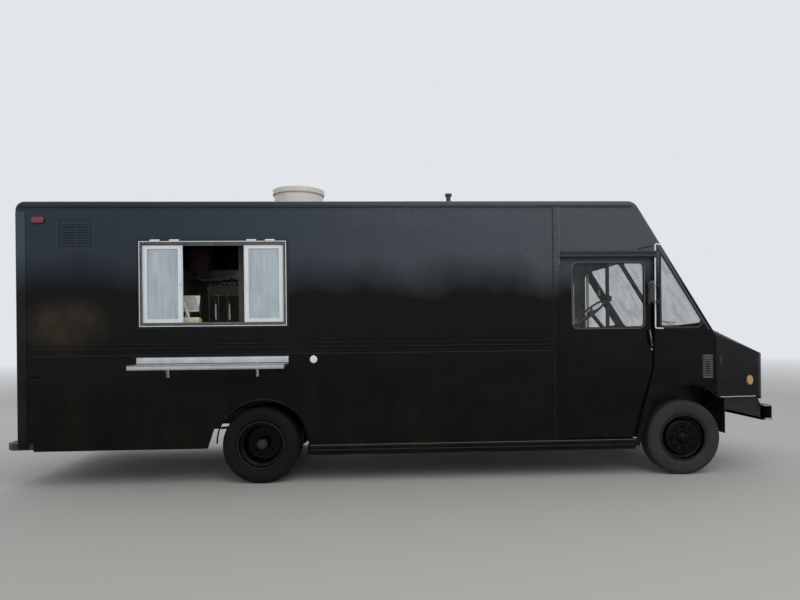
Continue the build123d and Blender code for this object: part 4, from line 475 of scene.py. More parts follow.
def piece(name, shape, finish, body="truck", bevel=0.0, crease=35.0):
    """Turn a shape or a grown mesh into a finished piece that rides on a body of the truck."""
    mesh = shape
    if isinstance(shape, Shape):
        mesh = shape.as_mesh(name)
        mesh.materials.append(finish)
    mesh.name = name
    mesh.polygons.foreach_set("use_smooth", [True] * len(mesh.polygons))
    mesh.set_sharp_from_angle(angle=math.radians(crease))
    made = placed(name, mesh)
    if bevel:
        edge = made.modifiers.new("eased_edges", "BEVEL")
        edge.width = bevel
        edge.segments = 2
        edge.limit_method = "ANGLE"
        edge.angle_limit = math.radians(crease)
        edge.harden_normals = False
    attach(made, body)
    return made


def repaint(node, finish, chosen):
    """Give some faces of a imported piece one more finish."""
    mesh = NODES[node].data
    mesh.materials.append(finish)
    number = len(mesh.materials) - 1
    for polygon in mesh.polygons:
        if chosen(polygon):
            polygon.material_index = number


# ---- Trees that repeat a shape or follow a path ----

def tree_of(name, *inputs):
    """Empty geometry tree with named inputs; the first takes the mesh that the piece grows from."""
    tree = bpy.data.node_groups.new(name, "GeometryNodeTree")
    for label, kind in (("Base", "Geometry"),) + inputs + (("Finish", "Material"),):
        tree.interface.new_socket(label, in_out="INPUT", socket_type=f"NodeSocket{kind}")
    tree.interface.new_socket("Piece", in_out="OUTPUT", socket_type="NodeSocketGeometry")
    return tree, tree.nodes.new("NodeGroupInput")


def step(tree, kind, settings=(), **inputs):
    made = tree.nodes.new(kind)
    for key, value in settings:
        setattr(made, key, value)
    for key, value in inputs.items():
        socket = made.inputs[int(key[1:])] if key[0] == "_" else made.inputs[key.replace("_", " ")]
        if isinstance(value, bpy.types.NodeSocket):
            tree.links.new(value, socket)
        else:
            socket.default_value = value
    return made.outputs[0]


def ended(tree, given, grown):
    """Close a tree with Realize Instances and Set Material."""
    grown = step(tree, "GeometryNodeRealizeInstances", Geometry=grown)
    grown = step(tree, "GeometryNodeSetMaterial", Geometry=grown, Material=given.outputs["Finish"])
    tree.links.new(grown, tree.nodes.new("NodeGroupOutput").inputs[0])
    return tree


def stud_tree():
    """Domed heads set a pitch apart along every line of the base."""
    tree, given = tree_of("stud_rows", ("Pitch", "Float"), ("Head Radius", "Float"), ("Head Height", "Float"),
                          ("Facing", "Vector"))
    out = given.outputs
    rows = step(tree, "GeometryNodeMeshToCurve", Mesh=out["Base"])
    spots = step(tree, "GeometryNodeCurveToPoints", [("mode", "LENGTH")], Curve=rows, Length=out["Pitch"])
    crown = step(tree, "ShaderNodeMath", [("operation", "MULTIPLY")], _0=out["Head Radius"], _1=0.5)
    head = step(tree, "GeometryNodeMeshCone", Vertices=8, Radius_Top=crown, Radius_Bottom=out["Head Radius"],
                Depth=out["Head Height"])
    turn = step(tree, "FunctionNodeAlignRotationToVector", [("axis", "Z")], Vector=out["Facing"])
    heads = step(tree, "GeometryNodeInstanceOnPoints", Points=spots, Instance=head, Rotation=turn)
    return ended(tree, given, heads)


def row_tree():
    """The base repeated a number of times round a centre, each turned on from the last."""
    tree, given = tree_of("repeated_shape", ("Count", "Int"), ("Turn", "Vector"), ("Centre", "Vector"))
    out = given.outputs
    single = step(tree, "GeometryNodeGeometryToInstance", Geometry=out["Base"])
    made = tree.nodes.new("GeometryNodeDuplicateElements")
    made.domain = "INSTANCE"
    tree.links.new(single, made.inputs["Geometry"])
    tree.links.new(out["Count"], made.inputs["Amount"])
    index = made.outputs["Duplicate Index"]
    angle = step(tree, "ShaderNodeVectorMath", [("operation", "SCALE")], Vector=out["Turn"], Scale=index)
    turned = step(tree, "GeometryNodeRotateInstances", Instances=made.outputs[0], Rotation=angle,
                  Pivot_Point=out["Centre"], Local_Space=False)
    return ended(tree, given, turned)


def moulding_tree():
    """Flat strip swept along the lines of the base, its width in the plane and its depth along Facing."""
    tree, given = tree_of("moulding", ("Width", "Float"), ("Depth", "Float"), ("Corner", "Float"),
                          ("Facing", "Vector"))
    out = given.outputs
    path = step(tree, "GeometryNodeMeshToCurve", Mesh=out["Base"])
    path = step(tree, "GeometryNodeFilletCurve", [("mode", "POLY")], Curve=path, Count=5, Radius=out["Corner"],
                Limit_Radius=True)
    path = step(tree, "GeometryNodeSetCurveNormal", [("mode", "FREE")], Curve=path, Normal=out["Facing"])
    profile = step(tree, "GeometryNodeCurvePrimitiveQuadrilateral", Width=out["Depth"], Height=out["Width"])
    swept = step(tree, "GeometryNodeCurveToMesh", Curve=path, Profile_Curve=profile, Fill_Caps=True)
    return ended(tree, given, swept)


STUDS = stud_tree()
ROWS = row_tree()
MOULDING = moulding_tree()


def lines(runs, closed=False):
    """Mesh of bare edges through each run of corners."""
    mesh = bpy.data.meshes.new("lines")
    corners, edges = [], []
    for run in runs:
        first = len(corners)
        corners += run
        edges += [(first + i, first + i + 1) for i in range(len(run) - 1)]
        if closed:
            edges.append((len(corners) - 1, first))
    mesh.from_pydata(corners, edges, [])
    return mesh


def grown(tree, base, finish, **inputs):
    """Plain mesh that a tree grows from a base."""
    source = placed("source", base)
    growth = source.modifiers.new("growth", "NODES")
    growth.node_group = tree
    values = {key.replace("_", " "): value for key, value in inputs.items()}
    values["Finish"] = finish
    for item in tree.interface.items_tree:
        if item.in_out == "INPUT" and item.name in values:
            growth[item.identifier] = values[item.name]
    ready = source.evaluated_get(bpy.context.evaluated_depsgraph_get())
    mesh = bpy.data.meshes.new_from_object(ready)
    bpy.data.objects.remove(source)
    mesh.materials.clear()
    mesh.materials.append(finish)
    mesh.polygons.foreach_set("material_index", [0] * len(mesh.polygons))
    return mesh


def studs(name, runs, facing, finish, body="truck", pitch=0.097, radius=0.0075, height=0.005):
    mesh = grown(STUDS, lines(runs), finish, Pitch=pitch, Head_Radius=radius, Head_Height=height, Facing=facing)
    return piece(name, mesh, finish, body)


def moulding(name, runs, facing, width, depth, finish, body="truck", slot=None, corner=0.0, closed=False):
    mesh = grown(MOULDING, lines(runs, closed), finish, Width=width, Depth=depth, Corner=corner, Facing=facing)
    return piece(name, mesh, finish, body)


def repeated(name, shape, count, finish, axis, centre, body="truck"):
    """Shape repeated all the way round an axis through centre."""
    turn = [2 * math.pi / count * part for part in axis]
    mesh = grown(ROWS, shape.as_mesh("base"), finish, Count=count, Turn=turn, Centre=centre)
    return piece(name, mesh, finish, body)


# ---- Body sides: rivets, strips, seams and lamps ----

MARK = -1.456
BELT_TOP, BELT_FOOT = 1.497, 1.372
SILL, RAIL_FOOT = 0.412, 2.924
OUT = ((0, -1, 0), (0, 1, 0))
AHEAD, ASTERN, UPWARD = (1, 0, 0), (-1, 0, 0), (0, 0, 1)
enamel = FINISHES["body_paint"]
bright = FINISHES["bare_aluminium"]
black = FINISHES["chassis_paint"]
steel = FINISHES["stainless"]
dull_strip = own("bare_aluminium", mill_aluminium("dull_strip", (0.15, 0.157, 0.165), 0.42))
faint_strip = own("bare_aluminium", mill_aluminium("painted_strip", (0.035, 0.037, 0.04), 0.4))
frame_grey = own("bare_aluminium", mill_aluminium("weathered_frame", (0.17, 0.18, 0.185), 0.5))
louvre_grey = own("bare_aluminium", mill_aluminium("louvre_grey", (0.32, 0.33, 0.32), 0.5))
chrome = own("bare_aluminium", mill_aluminium("chrome", (0.78, 0.78, 0.78), 0.14))
rubber = own("black_plastic", moulded("black_rubber", (0.012, 0.012, 0.012), 0.7, 500.0, 0.0002))
amber = own("lamp_lens", ribbed_lens("amber_lens", (0.5, 0.27, 0.1), 0.05))
white_trim = own("white_plastic", moulded("white_trim", (0.6, 0.61, 0.6), 0.4, 320.0, 0.0001))
# Lighter copy of the enamel for the rounded rear post: a painted highlight
post_painted_highlight = own("body_paint", black_enamel("post_painted_highlight", 0.2, 1.75))


def level(x0, x1, z):
    return [(MARK + x0, z), (MARK + x1, z)]


def upright(x, z0, z1):
    return [(MARK + x, z0), (MARK + x, z1)]


def arch(x, z, radius, angles):
    """Arc of (x, z) corners round a wheel opening, at angles in degrees."""
    return [(MARK + x + radius * math.cos(math.radians(t)), z + radius * math.sin(math.radians(t))) for t in angles]


def on_flank(runs, side, lift):
    """Runs of (x, z) corners set on one side's skin, or lifted off it."""
    return [[(x, side * (SKIN + lift), z) for x, z in run] for run in runs]


def flank_strips(rows, body="truck"):
    """Mouldings on both sides: name, runs of (x, z), lift, width, depth, finish, and what else a moulding takes."""
    for name, runs, lift, width, depth, finish, *more in rows:
        for side, word in SIDES:
            moulding(f"{name}_{word}", on_flank(runs, side, lift), OUT[side > 0], width, depth, finish,
                     body.format(word), **(more[0] if more else {}))


def rivet_runs(side):
    """Upright and level lines of rivets on one side of the body, left out where an opening or arch is."""
    arch_x, arch_z, arch_r = MARK + 0.009, 0.439, 0.545
    above, top = BELT_TOP + 0.03, 2.88
    runs = []
    for i in range(27):
        x = MARK - 2.29 + 0.205 * i
        low = 0.45
        if abs(x - arch_x) < arch_r:
            low = arch_z + math.sqrt(arch_r ** 2 - (x - arch_x) ** 2)
        elif -0.62 < x - MARK < 0:
            low = 0.68
        spans = [(low, BELT_FOOT - 0.04), (above, top)]
        if side == RIGHT and hatch_low.x - 0.04 < x < hatch_high.x + 0.04:
            spans[1:] = [(above, hatch_low.z - 0.03), (hatch_high.z + 0.05, top)]
        elif side == RIGHT and -2.09 < x - MARK < -1.71:
            spans[1:] = [(above, 2.48)]
        runs += [[(x, z0), (x, z1)] for z0, z1 in spans]
    runs += [level(-2.34, 3.08, z) for z in (BELT_TOP + 0.022, BELT_FOOT - 0.02, RAIL_FOOT - 0.022)]
    runs += [level(0.6, 3.08, SILL + 0.03), level(-2.34, -0.72, SILL)]
    posts = [upright(x, 0.46, top) for x in (3.128, 3.166)]
    return on_flank(runs, side, 0.0002) + on_flank(posts, side, 0.0082)


# Over the door, round the quarter glass and along the front arch
CAB_RIVETS = [arch(4.578, 0.532, 0.497, range(25, 156, 10)), level(3.21, 4.02, 2.9), level(3.21, 3.96, 2.45),
              level(4.3, 4.86, 1.56), upright(4.88, 1.54, 1.02)]
PILLAR_TOP = RAIL_FOOT - 0.012
COWL = oblong(3.297, 3.402, 1.06, 1.306)
flank_strips([
    ("roof_drip", [level(-2.455, 3.98, RAIL_FOOT - 0.002)], 0.006, 0.014, 0.011, faint_strip),
    ("roof_edge", [level(-2.45, 3.93, 2.9645)], -0.010, 0.006, 0.004, dull_strip),
    ("pillar_edge_low", [upright(3.1795, 0.415, 2.3)], 0.0092, 0.006, 0.004, enamel),
    # Upper pillar edge in lighter metal: a painted highlight
    ("pillar_edge_high", [upright(3.1795, 2.3, PILLAR_TOP)], 0.0092, 0.006, 0.004, dull_strip, {"slot": "body_paint"}),
    ("pillar_back", [upright(3.1145, 0.415, PILLAR_TOP)], 0.0088, 0.005, 0.003, faint_strip),
    ("rear_post_seam", [upright(-2.396, 0.41, RAIL_FOOT - 0.01)], 0.001, 0.009, 0.004, enamel),
    # Lighter lines on the belt rail's face: painted highlights
    ("belt_lights", [level(-2.38, 3.108, z) for z in (1.4865, 1.4435)], 0.0098, 0.004, 0.003, faint_strip),
    ("belt_foot", [level(-2.38, 3.108, 1.374)], 0.0012, 0.005, 0.0025, faint_strip),
    # Light line along the rocker rail's top: a painted highlight
    ("sill_strip", [level(0.505, 3.98, SILL - 0.006)], 0.0055, 0.007, 0.006, dull_strip),
    ("rub_rail", [level(0.505, 3.98, SILL - 0.058)], 0.009, 0.012, 0.005, faint_strip),
    ("rear_arch_lip", [arch(0.009, 0.439, 0.476, [7.5 * k for k in range(25)])], -0.002, 0.014, 0.014, enamel),
    ("front_arch_lip", [arch(4.578, 0.532, 0.461, range(44, 181, 6))], -0.004, 0.012, 0.014, enamel),
    ("cowl_louvre_frame", [COWL], 0.001, 0.003, 0.003, louvre_grey, {"closed": True}),
    # Grey lines on the louvre slats: painted highlights
    ("cowl_louvre_slats", [[(3.306, 1.066 + 0.0257 * k), (3.394, 1.066 + 0.0257 * k)] for k in range(10)],
     0.0025, 0.0045, 0.004, louvre_grey),
])
for side, word in SIDES:
    facing, skin = OUT[side > 0], side * SKIN
    studs(f"side_rivets_{word}", rivet_runs(side), facing, enamel)
    studs(f"cab_rivets_{word}", on_flank(CAB_RIVETS, side, 0.0002), facing, enamel)
    drip = [(MARK + x, z) for x, z in ((4.046, 2.459), (4.2, 2.491), (4.2, 2.499), (4.046, 2.467))]
    piece(f"cab_drip_{word}", Shape().side_plate(drip, skin, side * (SKIN + 0.012)), faint_strip,
          bevel=0.002)
    rim = rounded(oblong(MARK - 2.335, MARK - 2.191, 2.747, 2.823), 0.034)
    piece(f"marker_base_{word}", Shape().side_plate(rim, skin, side * (SKIN + 0.007)), rubber, bevel=0.003)
    studs(f"marker_screws_{word}", on_flank([level(-2.328, -2.198, 2.785)], side, 0.007), facing, chrome,
          pitch=0.13, radius=0.004, height=0.003)
    # Thin plate on the rounded rear post in the lighter enamel: a painted highlight
    post = oblong(MARK - 2.497, MARK - 2.404, 0.42, 2.872)
    piece(f"rear_post_highlight_plate_{word}", Shape().side_plate(post, side * (SKIN - 0.001), side * (SKIN + 0.0008)),
          post_painted_highlight)

# Crumpled edge of the rear skirt's old scrape, as raised folds in the sheet
folds = Shape()
for x, z, length, height in ((-3.79, 1.165, 0.085, 0.012), (-3.80, 1.13, 0.1, 0.01), (-3.76, 1.10, 0.06, 0.008)):
    folds.skin([[(x + along * length, -SKIN - 0.0005 - lift * 0.006, z + k * height) for k in (-1, 0, 1)]
                + [(x + along * length, -SKIN + 0.002, z + k * height) for k in (1, 0, -1)]
                for along, lift in ((-1, 0), (-0.4, 1), (0.3, 0.7), (1, 0))])
piece("skirt_dent", folds, enamel, crease=60.0)
cap = Shape().turned([(0, 0.0), (0, 0.037), (0.004, 0.039), (0.012, 0.039), (0.017, 0.034), (0.018, 0.012),
                      (0.022, 0.010), (0.022, 0.0)], (MARK + 0.548, -SKIN, 1.311), OUT[0], 36)
cap.block((MARK + 0.54, -SKIN - 0.010, 1.345), (MARK + 0.556, -SKIN, 1.354))
piece("inlet_cap", cap, white_trim, bevel=0.001)
studs("vent_rivets", on_flank([level(-2.068, -1.73, z) for z in (2.505, 2.8)], RIGHT, 0.0), OUT[0], enamel,
      pitch=0.112, radius=0.006)
moulding("vent_frame", on_flank([oblong(MARK - 2.056, MARK - 1.742, 2.516, 2.789)], RIGHT, 0.003), OUT[0], 0.008,
         0.006, enamel, closed=True)

repaint("front_lamps", amber, lambda face: abs(face.center.y) > 1.05)
repaint("body_louvres", black, lambda face: face.center.x > 2.0)
repaint("window_frame", frame_grey, lambda face: face.center.y < hatch_low.y + 0.016)
repaint("floor_pan", satin_black("underseal", (0.004, 0.004, 0.004), (0.04, 0.032, 0.024), 0.4),
        lambda face: face.normal.z < 0.3)
# Darker, duller enamel on the header rail over the cab door: painted shade under the drip
repaint("cab_sides", black_enamel("header_painted_shade", 0.05, 0.35),
        lambda face: abs(face.center.y) > SKIN + 0.002 and 2.3 < face.center.z < 2.46)
# Near-black on the door jamb's rearward faces: painted shade in the seam
repaint("cab_sides", moulded("jamb_painted_shade", (0.002, 0.002, 0.002), 0.8),
        lambda face: face.normal.x < -0.35 and abs(face.center.y) > SKIN - 0.1 and 2.45 < face.center.x < 2.85
        and face.center.z < 1.62)


# ---- Serving window and shelf ----

window_white = FINISHES["window_white"]
PANE_Y = hatch_low.y
FRAME_MID_Z = (hatch_low.z + hatch_high.z) / 2


def border(x0, x1, z0, z1, inset, y):
    """Corners of a level rectangle inside another, at one distance from the truck's middle."""
    return [(x, y, z) for x, z in oblong(x0 + inset, x1 - inset, z0 + inset, z1 - inset)]


# name, inset from the frame's edge, distance from the middle, width, depth, finish, corner
for name, inset, y, width, depth, finish, corner in (
    ("window_outer_bead", 0.0115, PANE_Y - 0.0005, 0.009, 0.005, window_white, 0.0),
    ("window_inner_bead", 0.036, PANE_Y - 0.0005, 0.005, 0.005, dull_strip, 0.0),
    ("window_groove", 0.0235, PANE_Y - 0.0005, 0.008, 0.003, rubber, 0.0),
    ("window_edge_paint", 0.003, PANE_Y - 0.0003, 0.0075, 0.003, enamel, 0.0),
    ("window_seal", -0.006, -SKIN - 0.001, 0.009, 0.004, rubber, 0.0),
    ("window_surround", -0.024, -SKIN - 0.0012, 0.006, 0.004, enamel, 0.012),
):
    moulding(name, [border(hatch_low.x, hatch_high.x, hatch_low.z, hatch_high.z, inset, y)], OUT[0], width, depth,
             finish, corner=corner, closed=True)
screws = [[(hatch_low.x + 0.05, PANE_Y, z), (hatch_high.x - 0.05, PANE_Y, z)]
          for z in (hatch_low.z + 0.021, hatch_high.z - 0.021)]
screws += [[(x, PANE_Y, hatch_low.z + 0.1), (x, PANE_Y, hatch_high.z - 0.1)]
           for x in (hatch_low.x + 0.021, hatch_high.x - 0.021)]
studs("window_screws", screws, OUT[0], chrome, pitch=0.22, radius=0.005, height=0.003)
tabs = Shape()
for start in (-1.135, -0.935, -0.140, 0.054):
    x, z = MARK + start, hatch_high.z
    tabs.block((x, PANE_Y - 0.006, z - 0.006), (x + 0.102, -SKIN + 0.002, z + 0.008))
    tabs.block((x + 0.006, -SKIN - 0.004, z + 0.008), (x + 0.096, -SKIN, z + 0.012))
piece("window_tabs", tabs, window_white, bevel=0.002)

sash_low, sash_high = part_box("window_sashes")
SASHES = ((sash_low.x, sash_low.x + 0.412), (sash_high.x - 0.412, sash_high.x))
for name, inset, width, depth, finish in (("glazing_beads", 0.040, 0.021, 0.004, window_white),
                                          ("sash_lines", 0.008, 0.003, 0.003, bright)):
    rings = [border(x0, x1, sash_low.z, sash_high.z, inset, sash_low.y - 0.001) for x0, x1 in SASHES]
    moulding(name, rings, OUT[0], width, depth, finish, closed=True)
latch = Shape()
for x in (SASHES[0][1] - 0.022, SASHES[1][0] + 0.022):
    for wide, tall, near, far in ((0.008, 0.05, 0.0, 0.006), (0.005, 0.018, 0.006, 0.018)):
        latch.block((x - wide, sash_low.y - far, FRAME_MID_Z - tall), (x + wide, sash_low.y - near, FRAME_MID_Z + tall))
piece("sash_latches", latch, window_white, bevel=0.0015)
bars = Shape()
for x0, x1 in SASHES:
    for k in range(3):
        z = sash_low.z + 0.25 + 0.2 * k
        bars.block((x0 + 0.05, sash_high.y + 0.004, z), (x1 - 0.05, sash_high.y + 0.008, z + 0.006))
piece("screen_bars", bars, dull_strip, bevel=0.001)


def shelf_lines(low, high, inset, y, heights):
    return [[(low.x + inset, y, z), (high.x - inset, y, z)] for z in heights]


rail_low, rail_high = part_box("shelf_rail")
RAIL_FACE = -SKIN - 0.0141
studs("shelf_rail_screws", shelf_lines(rail_low, rail_high, 0.03, RAIL_FACE, [1.333]), OUT[0], steel,
      pitch=0.15, radius=0.006, height=0.003)
moulding("shelf_rail_lines", shelf_lines(rail_low, rail_high, 0.004, RAIL_FACE - 0.001, (1.3125, 1.3505)), OUT[0],
         0.005, 0.002, dull_strip)
moulding("shelf_lip_lines", shelf_lines(shelf_low, shelf_high, 0.002, shelf_low.y + 0.0003, (1.2745, 1.2415)),
         OUT[0], 0.005, 0.001, dull_strip, "shelf")
rows = [shelf_lines(shelf_low, shelf_high, 0.06, y, [1.281])[0] for y in (shelf_low.y + 0.03, -SKIN - 0.06)]
studs("shelf_screws", rows, UPWARD, steel, "shelf", 0.28, 0.005, 0.002)


# ---- Roof ----

ROOF_Z = fan_low.z - 0.0002
FAN_X, FAN_Y = (fan_low.x + fan_high.x) / 2, (fan_low.y + fan_high.y) / 2
FAN_CENTRE = (FAN_X, FAN_Y, 0)


def roof_line(x, half):
    return [(x, -half, ROOF_Z), (x, half, ROOF_Z)]


bows = [MARK - 2.1 + 0.72 * i + shift for i in range(9) for shift in (0.0, 0.05)]
studs("roof_rivets", [roof_line(x, 1.11) for x in bows if abs(x - FAN_X) > 0.42], UPWARD, enamel, pitch=0.1)
edges = [[(MARK - 2.38, y, ROOF_Z), (MARK + 3.9, y, ROOF_Z)] for y in (-1.115, 1.115)]
studs("roof_edge_rivets", edges, UPWARD, enamel)
moulding("roof_seams", [roof_line(MARK - 1.38 + 1.44 * i, 1.12) for i in (0, 2, 3)], UPWARD, 0.045, 0.005, enamel)

guard = Shape()
for k in range(5):
    r, wire = 0.055 + 0.055 * k, 0.0025
    guard.turned(oblong(-wire, wire, r - wire, r + wire), (FAN_X, FAN_Y, fan_high.z - 0.01), UPWARD, 36, True)
for k in range(4):
    angle = k * math.pi / 4
    arm = Vector((math.cos(angle), math.sin(angle), 0)) * 0.296
    middle = Vector((FAN_X, FAN_Y, fan_high.z - 0.016))
    guard.rod(middle - arm, middle + arm, 0.0035, 8)
piece("fan_guard", guard, steel)
screw = Shape().rod((FAN_X + 0.317, 0, fan_high.z - 0.036), (FAN_X + 0.3208, 0, fan_high.z - 0.036), 0.007, 8)
repeated("fan_screws", screw, 12, steel, UPWARD, FAN_CENTRE)
screw = Shape().rod((FAN_X + 0.33, 0, fan_low.z + 0.026), (FAN_X + 0.33, 0, fan_low.z + 0.031), 0.006, 8)
repeated("fan_curb_screws", screw, 10, steel, UPWARD, FAN_CENTRE)
band = Shape().turned([(0, 0.3002), (0, 0.3045), (0.03, 0.3045), (0.03, 0.3002)], (FAN_X, FAN_Y, fan_low.z + 0.12),
                      UPWARD, 64, True)
piece("fan_band", band, dull_strip, bevel=0.001)
blade = Shape().prism([(0.05, 0), (0.25, -0.02), (0.25, 0.05), (0.05, 0.03)],
                      lambda x, y: (FAN_X + x, y, fan_low.z + 0.19 + y * 0.5),
                      lambda x, y: (FAN_X + x, y, fan_low.z + 0.194 + y * 0.5))
repeated("fan_blades", blade, 6, dull_strip, UPWARD, FAN_CENTRE)
VENT_X = MARK + 2.143
collar = Shape().turned([(0, 0.075), (0.006, 0.075), (0.01, 0.05), (0.045, 0.034), (0.045, 0.0295), (0, 0.0295)],
                        (VENT_X, 0, ROOF_Z), UPWARD, 32, True)
collar.turned([(0, 0.0292), (0.0, 0.0325), (0.010, 0.033), (0.0142, 0.030), (0.0148, 0.0)],
              (VENT_X, 0, ROOF_Z + 0.3265), UPWARD)
piece("vent_collar", collar, rubber)


# ---- Cab ----

SEAM_X = hood_low.x - 0.006
SLOPE = math.radians(31.6)
SLOPE_OUT = (math.cos(SLOPE), 0, math.sin(SLOPE))
DOOR_FACE = 1.124
DOOR_LIFT = DOOR_FACE - SKIN
DOOR_REAR = FRONT_AXLE - 1.375
DOOR_FRONT = FRONT_AXLE - 0.324
DOOR_FOOT = FRONT_AXLE - 0.555
PANE_BAR = DOOR_REAR + 0.547
tag_green = own("white_plastic", moulded("green_tag", (0.42, 0.6, 0.05), 0.5))
# Dark fixed colour on the mirror's glass: a painted reflection of dark surroundings
mirror_reflection_paint = moulded("mirror_glass_painted_reflection", (0.012, 0.013, 0.014), 0.03, 200.0, 0.0)
mirror_black = moulded("mirror_black", (0.006, 0.006, 0.0065), 0.3)
handle_black = moulded("handle_black", (0.01, 0.01, 0.0105), 0.25)
lock_silver = mill_aluminium("lock_silver", (0.25, 0.25, 0.24), 0.3)


def slope_x(z, inset=0.0):
    """Length along the truck of the sloping front at a height, a distance inside its skin."""
    return SEAM_X + (1.553 - z) * math.tan(SLOPE) - inset / math.cos(SLOPE)


def at_x(x, run):
    """Run of (y, z) corners set at one place along the truck."""
    return [(x, y, z) for y, z in run]


def window_ring(margin):
    """Corners round the cab door's window, a margin outside its opening."""
    return oblong(DOOR_REAR + 0.158 - margin, DOOR_FRONT - 0.103 + margin, 1.609 - margin, 2.319 + margin)


pane_ends = [[(x, 1.619), (x, 2.309)] for x in (PANE_BAR + 0.018, PANE_BAR - 0.0165)]
flank_strips([
    ("door_window_rim", [window_ring(0.006)], DOOR_LIFT + 0.0012, 0.006, 0.0028, dull_strip,
     {"corner": 0.06, "closed": True}),
    ("door_window_seal", [window_ring(-0.005)], DOOR_LIFT - 0.006, 0.011, 0.012, rubber,
     {"corner": 0.05, "closed": True}),
    ("pane_edges", pane_ends, DOOR_LIFT - 0.0125, 0.004, 0.003, rubber),
], "cab_door_{}")
post = [(slope_x(2.47, 0.05), 2.47), (slope_x(1.65, 0.052), 1.65), (slope_x(1.60, 0.045), 1.58)]
rear, low, high = DOOR_FRONT + 0.057, 1.609, 2.404
glass = [(rear, low), (rear, high), (slope_x(high, 0.054), high), (slope_x(low + 0.055, 0.054), low + 0.055),
         (slope_x(low + 0.055, 0.054) - 0.07, low)]
flank_strips([
    ("door_post_seal", [[(DOOR_FRONT + 0.007, 2.36), (DOOR_FRONT + 0.007, 1.167), (DOOR_FOOT + 0.012, 0.425)]], 0.001,
     0.009, 0.003, enamel),
    ("screen_outline", [[(2.846, 2.500), (DOOR_FRONT + 0.001, 2.521), (DOOR_FRONT - 0.002, 1.603), (2.862, 1.600)]],
     0.002, 0.0125, 0.005, white_trim, {"corner": 0.018}),
    ("front_post_strip", [post], 0.001, 0.008, 0.005, dull_strip),
    ("front_post_seal", [[(x - 0.017, z) for x, z in post[:2]]], 0.001, 0.012, 0.004, rubber),
    ("quarter_gasket", [glass], -0.001, 0.02, 0.008, rubber, {"corner": 0.02, "closed": True}),
    ("quarter_edge", [[(rear + 0.016, low + 0.03), (rear + 0.016, low + 0.2)]], -0.001, 0.005, 0.004, bright),
    ("door_header_edge", [[(DOOR_REAR + 0.01, 2.390), (DOOR_FRONT + 0.01, 2.390)]], 0.0205, 0.022, 0.002, black),
    ("door_header_top", [[(DOOR_REAR + 0.01, 2.430), (DOOR_FRONT + 0.01, 2.430)]], 0.009, 0.014, 0.010, black),
])


def flank_block(shape, side, x0, x1, inner, outer, z0, z1):
    """Block on one side of the truck, between two distances from its middle."""
    y0, y1 = sorted((side * inner, side * outer))
    return shape.block((x0, y0, z0), (x1, y1, z1))


for side, word in SIDES:
    door = f"cab_door_{word}"
    catch = flank_block(Shape(), side, PANE_BAR + 0.02, PANE_BAR + 0.045, DOOR_FACE - 0.0135, DOOR_FACE - 0.008,
                        1.9, 1.96)
    piece(f"pane_catch_{word}", catch, rubber, door, bevel=0.0012)
    repaint(door, handle_black, lambda face: side * face.center.y > DOOR_FACE + 0.0004)
    repaint(door, lock_silver, lambda face: side * face.center.y > DOOR_FACE + 0.0004 and face.center.z < 1.45)
    grip_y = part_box(door)[side > 0].y - side * 0.001
    glint = Shape().rod((2.716, grip_y, 1.578), (2.731, grip_y, 1.492), 0.0022, 8)
    piece(f"handle_glint_{word}", glint, chrome, door)
    repaint(f"cab_door_glass_{word}", rubber, lambda face: abs(face.center.x - PANE_BAR) < 0.0144)
    ends = ((0.022, 1.628), (SKIN - 0.095, 1.628), (SKIN - 0.095, 2.45), (0.022, 2.45))
    moulding(f"windscreen_gasket_{word}", [[(slope_x(z, 0.0015), side * y, z) for y, z in ends]], SLOPE_OUT, 0.024,
             0.01, rubber, corner=0.07, closed=True)

NODES["mirrors"].data.materials[0] = mirror_black
# The mirror's glass faces get the painted dark reflection
repaint("mirrors", mirror_reflection_paint, lambda face: face.center.x - (FRONT_AXLE - 0.475) < -0.018
        and abs(face.center.y) > 1.3 and abs(face.normal.z) < 0.3 and face.area > 0.002)
feet = Shape()
for side in (RIGHT, LEFT):
    for z in (1.888, 2.058):
        feet.turned([(0.014, 0), (0.014, 0.021), (0.019, 0.019), (0.022, 0.011), (0.022, 0)],
                    (DOOR_FRONT + 0.026, side * SKIN, z), OUT[side > 0], 20)
piece("mirror_feet", feet, faint_strip)
mirror_low, mirror_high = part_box("mirrors")
tips = [vertex.co for vertex in NODES["mirrors"].data.vertices if vertex.co.y < mirror_low.y + 0.012]
tip_x = sum(point.x for point in tips) / len(tips)
# Chrome bars at the mirror's outer edge: painted highlights
caps = Shape()
for side, end in ((RIGHT, mirror_low.y), (LEFT, mirror_high.y)):
    for low, high in ((2.005, 2.08), (1.868, 1.915)):
        tall = high - low
        caps.turned([(0, 0.0), (0.004, 0.006), (0.014, 0.008), (tall - 0.014, 0.008), (tall - 0.004, 0.006),
                     (tall, 0.0)], (tip_x, end - side * 0.0085, low), UPWARD, 16)
piece("mirror_highlight_caps", caps, chrome)

wipers = Shape()
for side in (RIGHT, LEFT):
    pivot = Vector((slope_x(1.585, -0.004), side * 0.50, 1.585))
    tip = Vector((slope_x(1.70, -0.016), side * 0.10, 1.70))
    elbow = Vector((slope_x(1.64, -0.016), side * 0.30, 1.64))
    wipers.turned([(-0.01, 0.016), (0.012, 0.016), (0.016, 0.01)], pivot, SLOPE_OUT, 16)
    wipers.pipe([pivot + Vector((0.008, 0, 0.004)), elbow, tip], 0.004, 8)
    start = Vector((slope_x(1.672, -0.005), side * 0.42, 1.672))
    wipers.rod(start, start + Vector((slope_x(1.69) - slope_x(1.672), -side * 0.38, 0.018)), 0.0045, 8)
piece("wipers", wipers, rubber)


# ---- The driver's place ----

SEAT_X, DRIVER_Y = FRONT_AXLE - 0.935, 0.55
VOXEL = 0.014
SWELL, TUCK = 0.008, 0.006
CHANNELS = 5


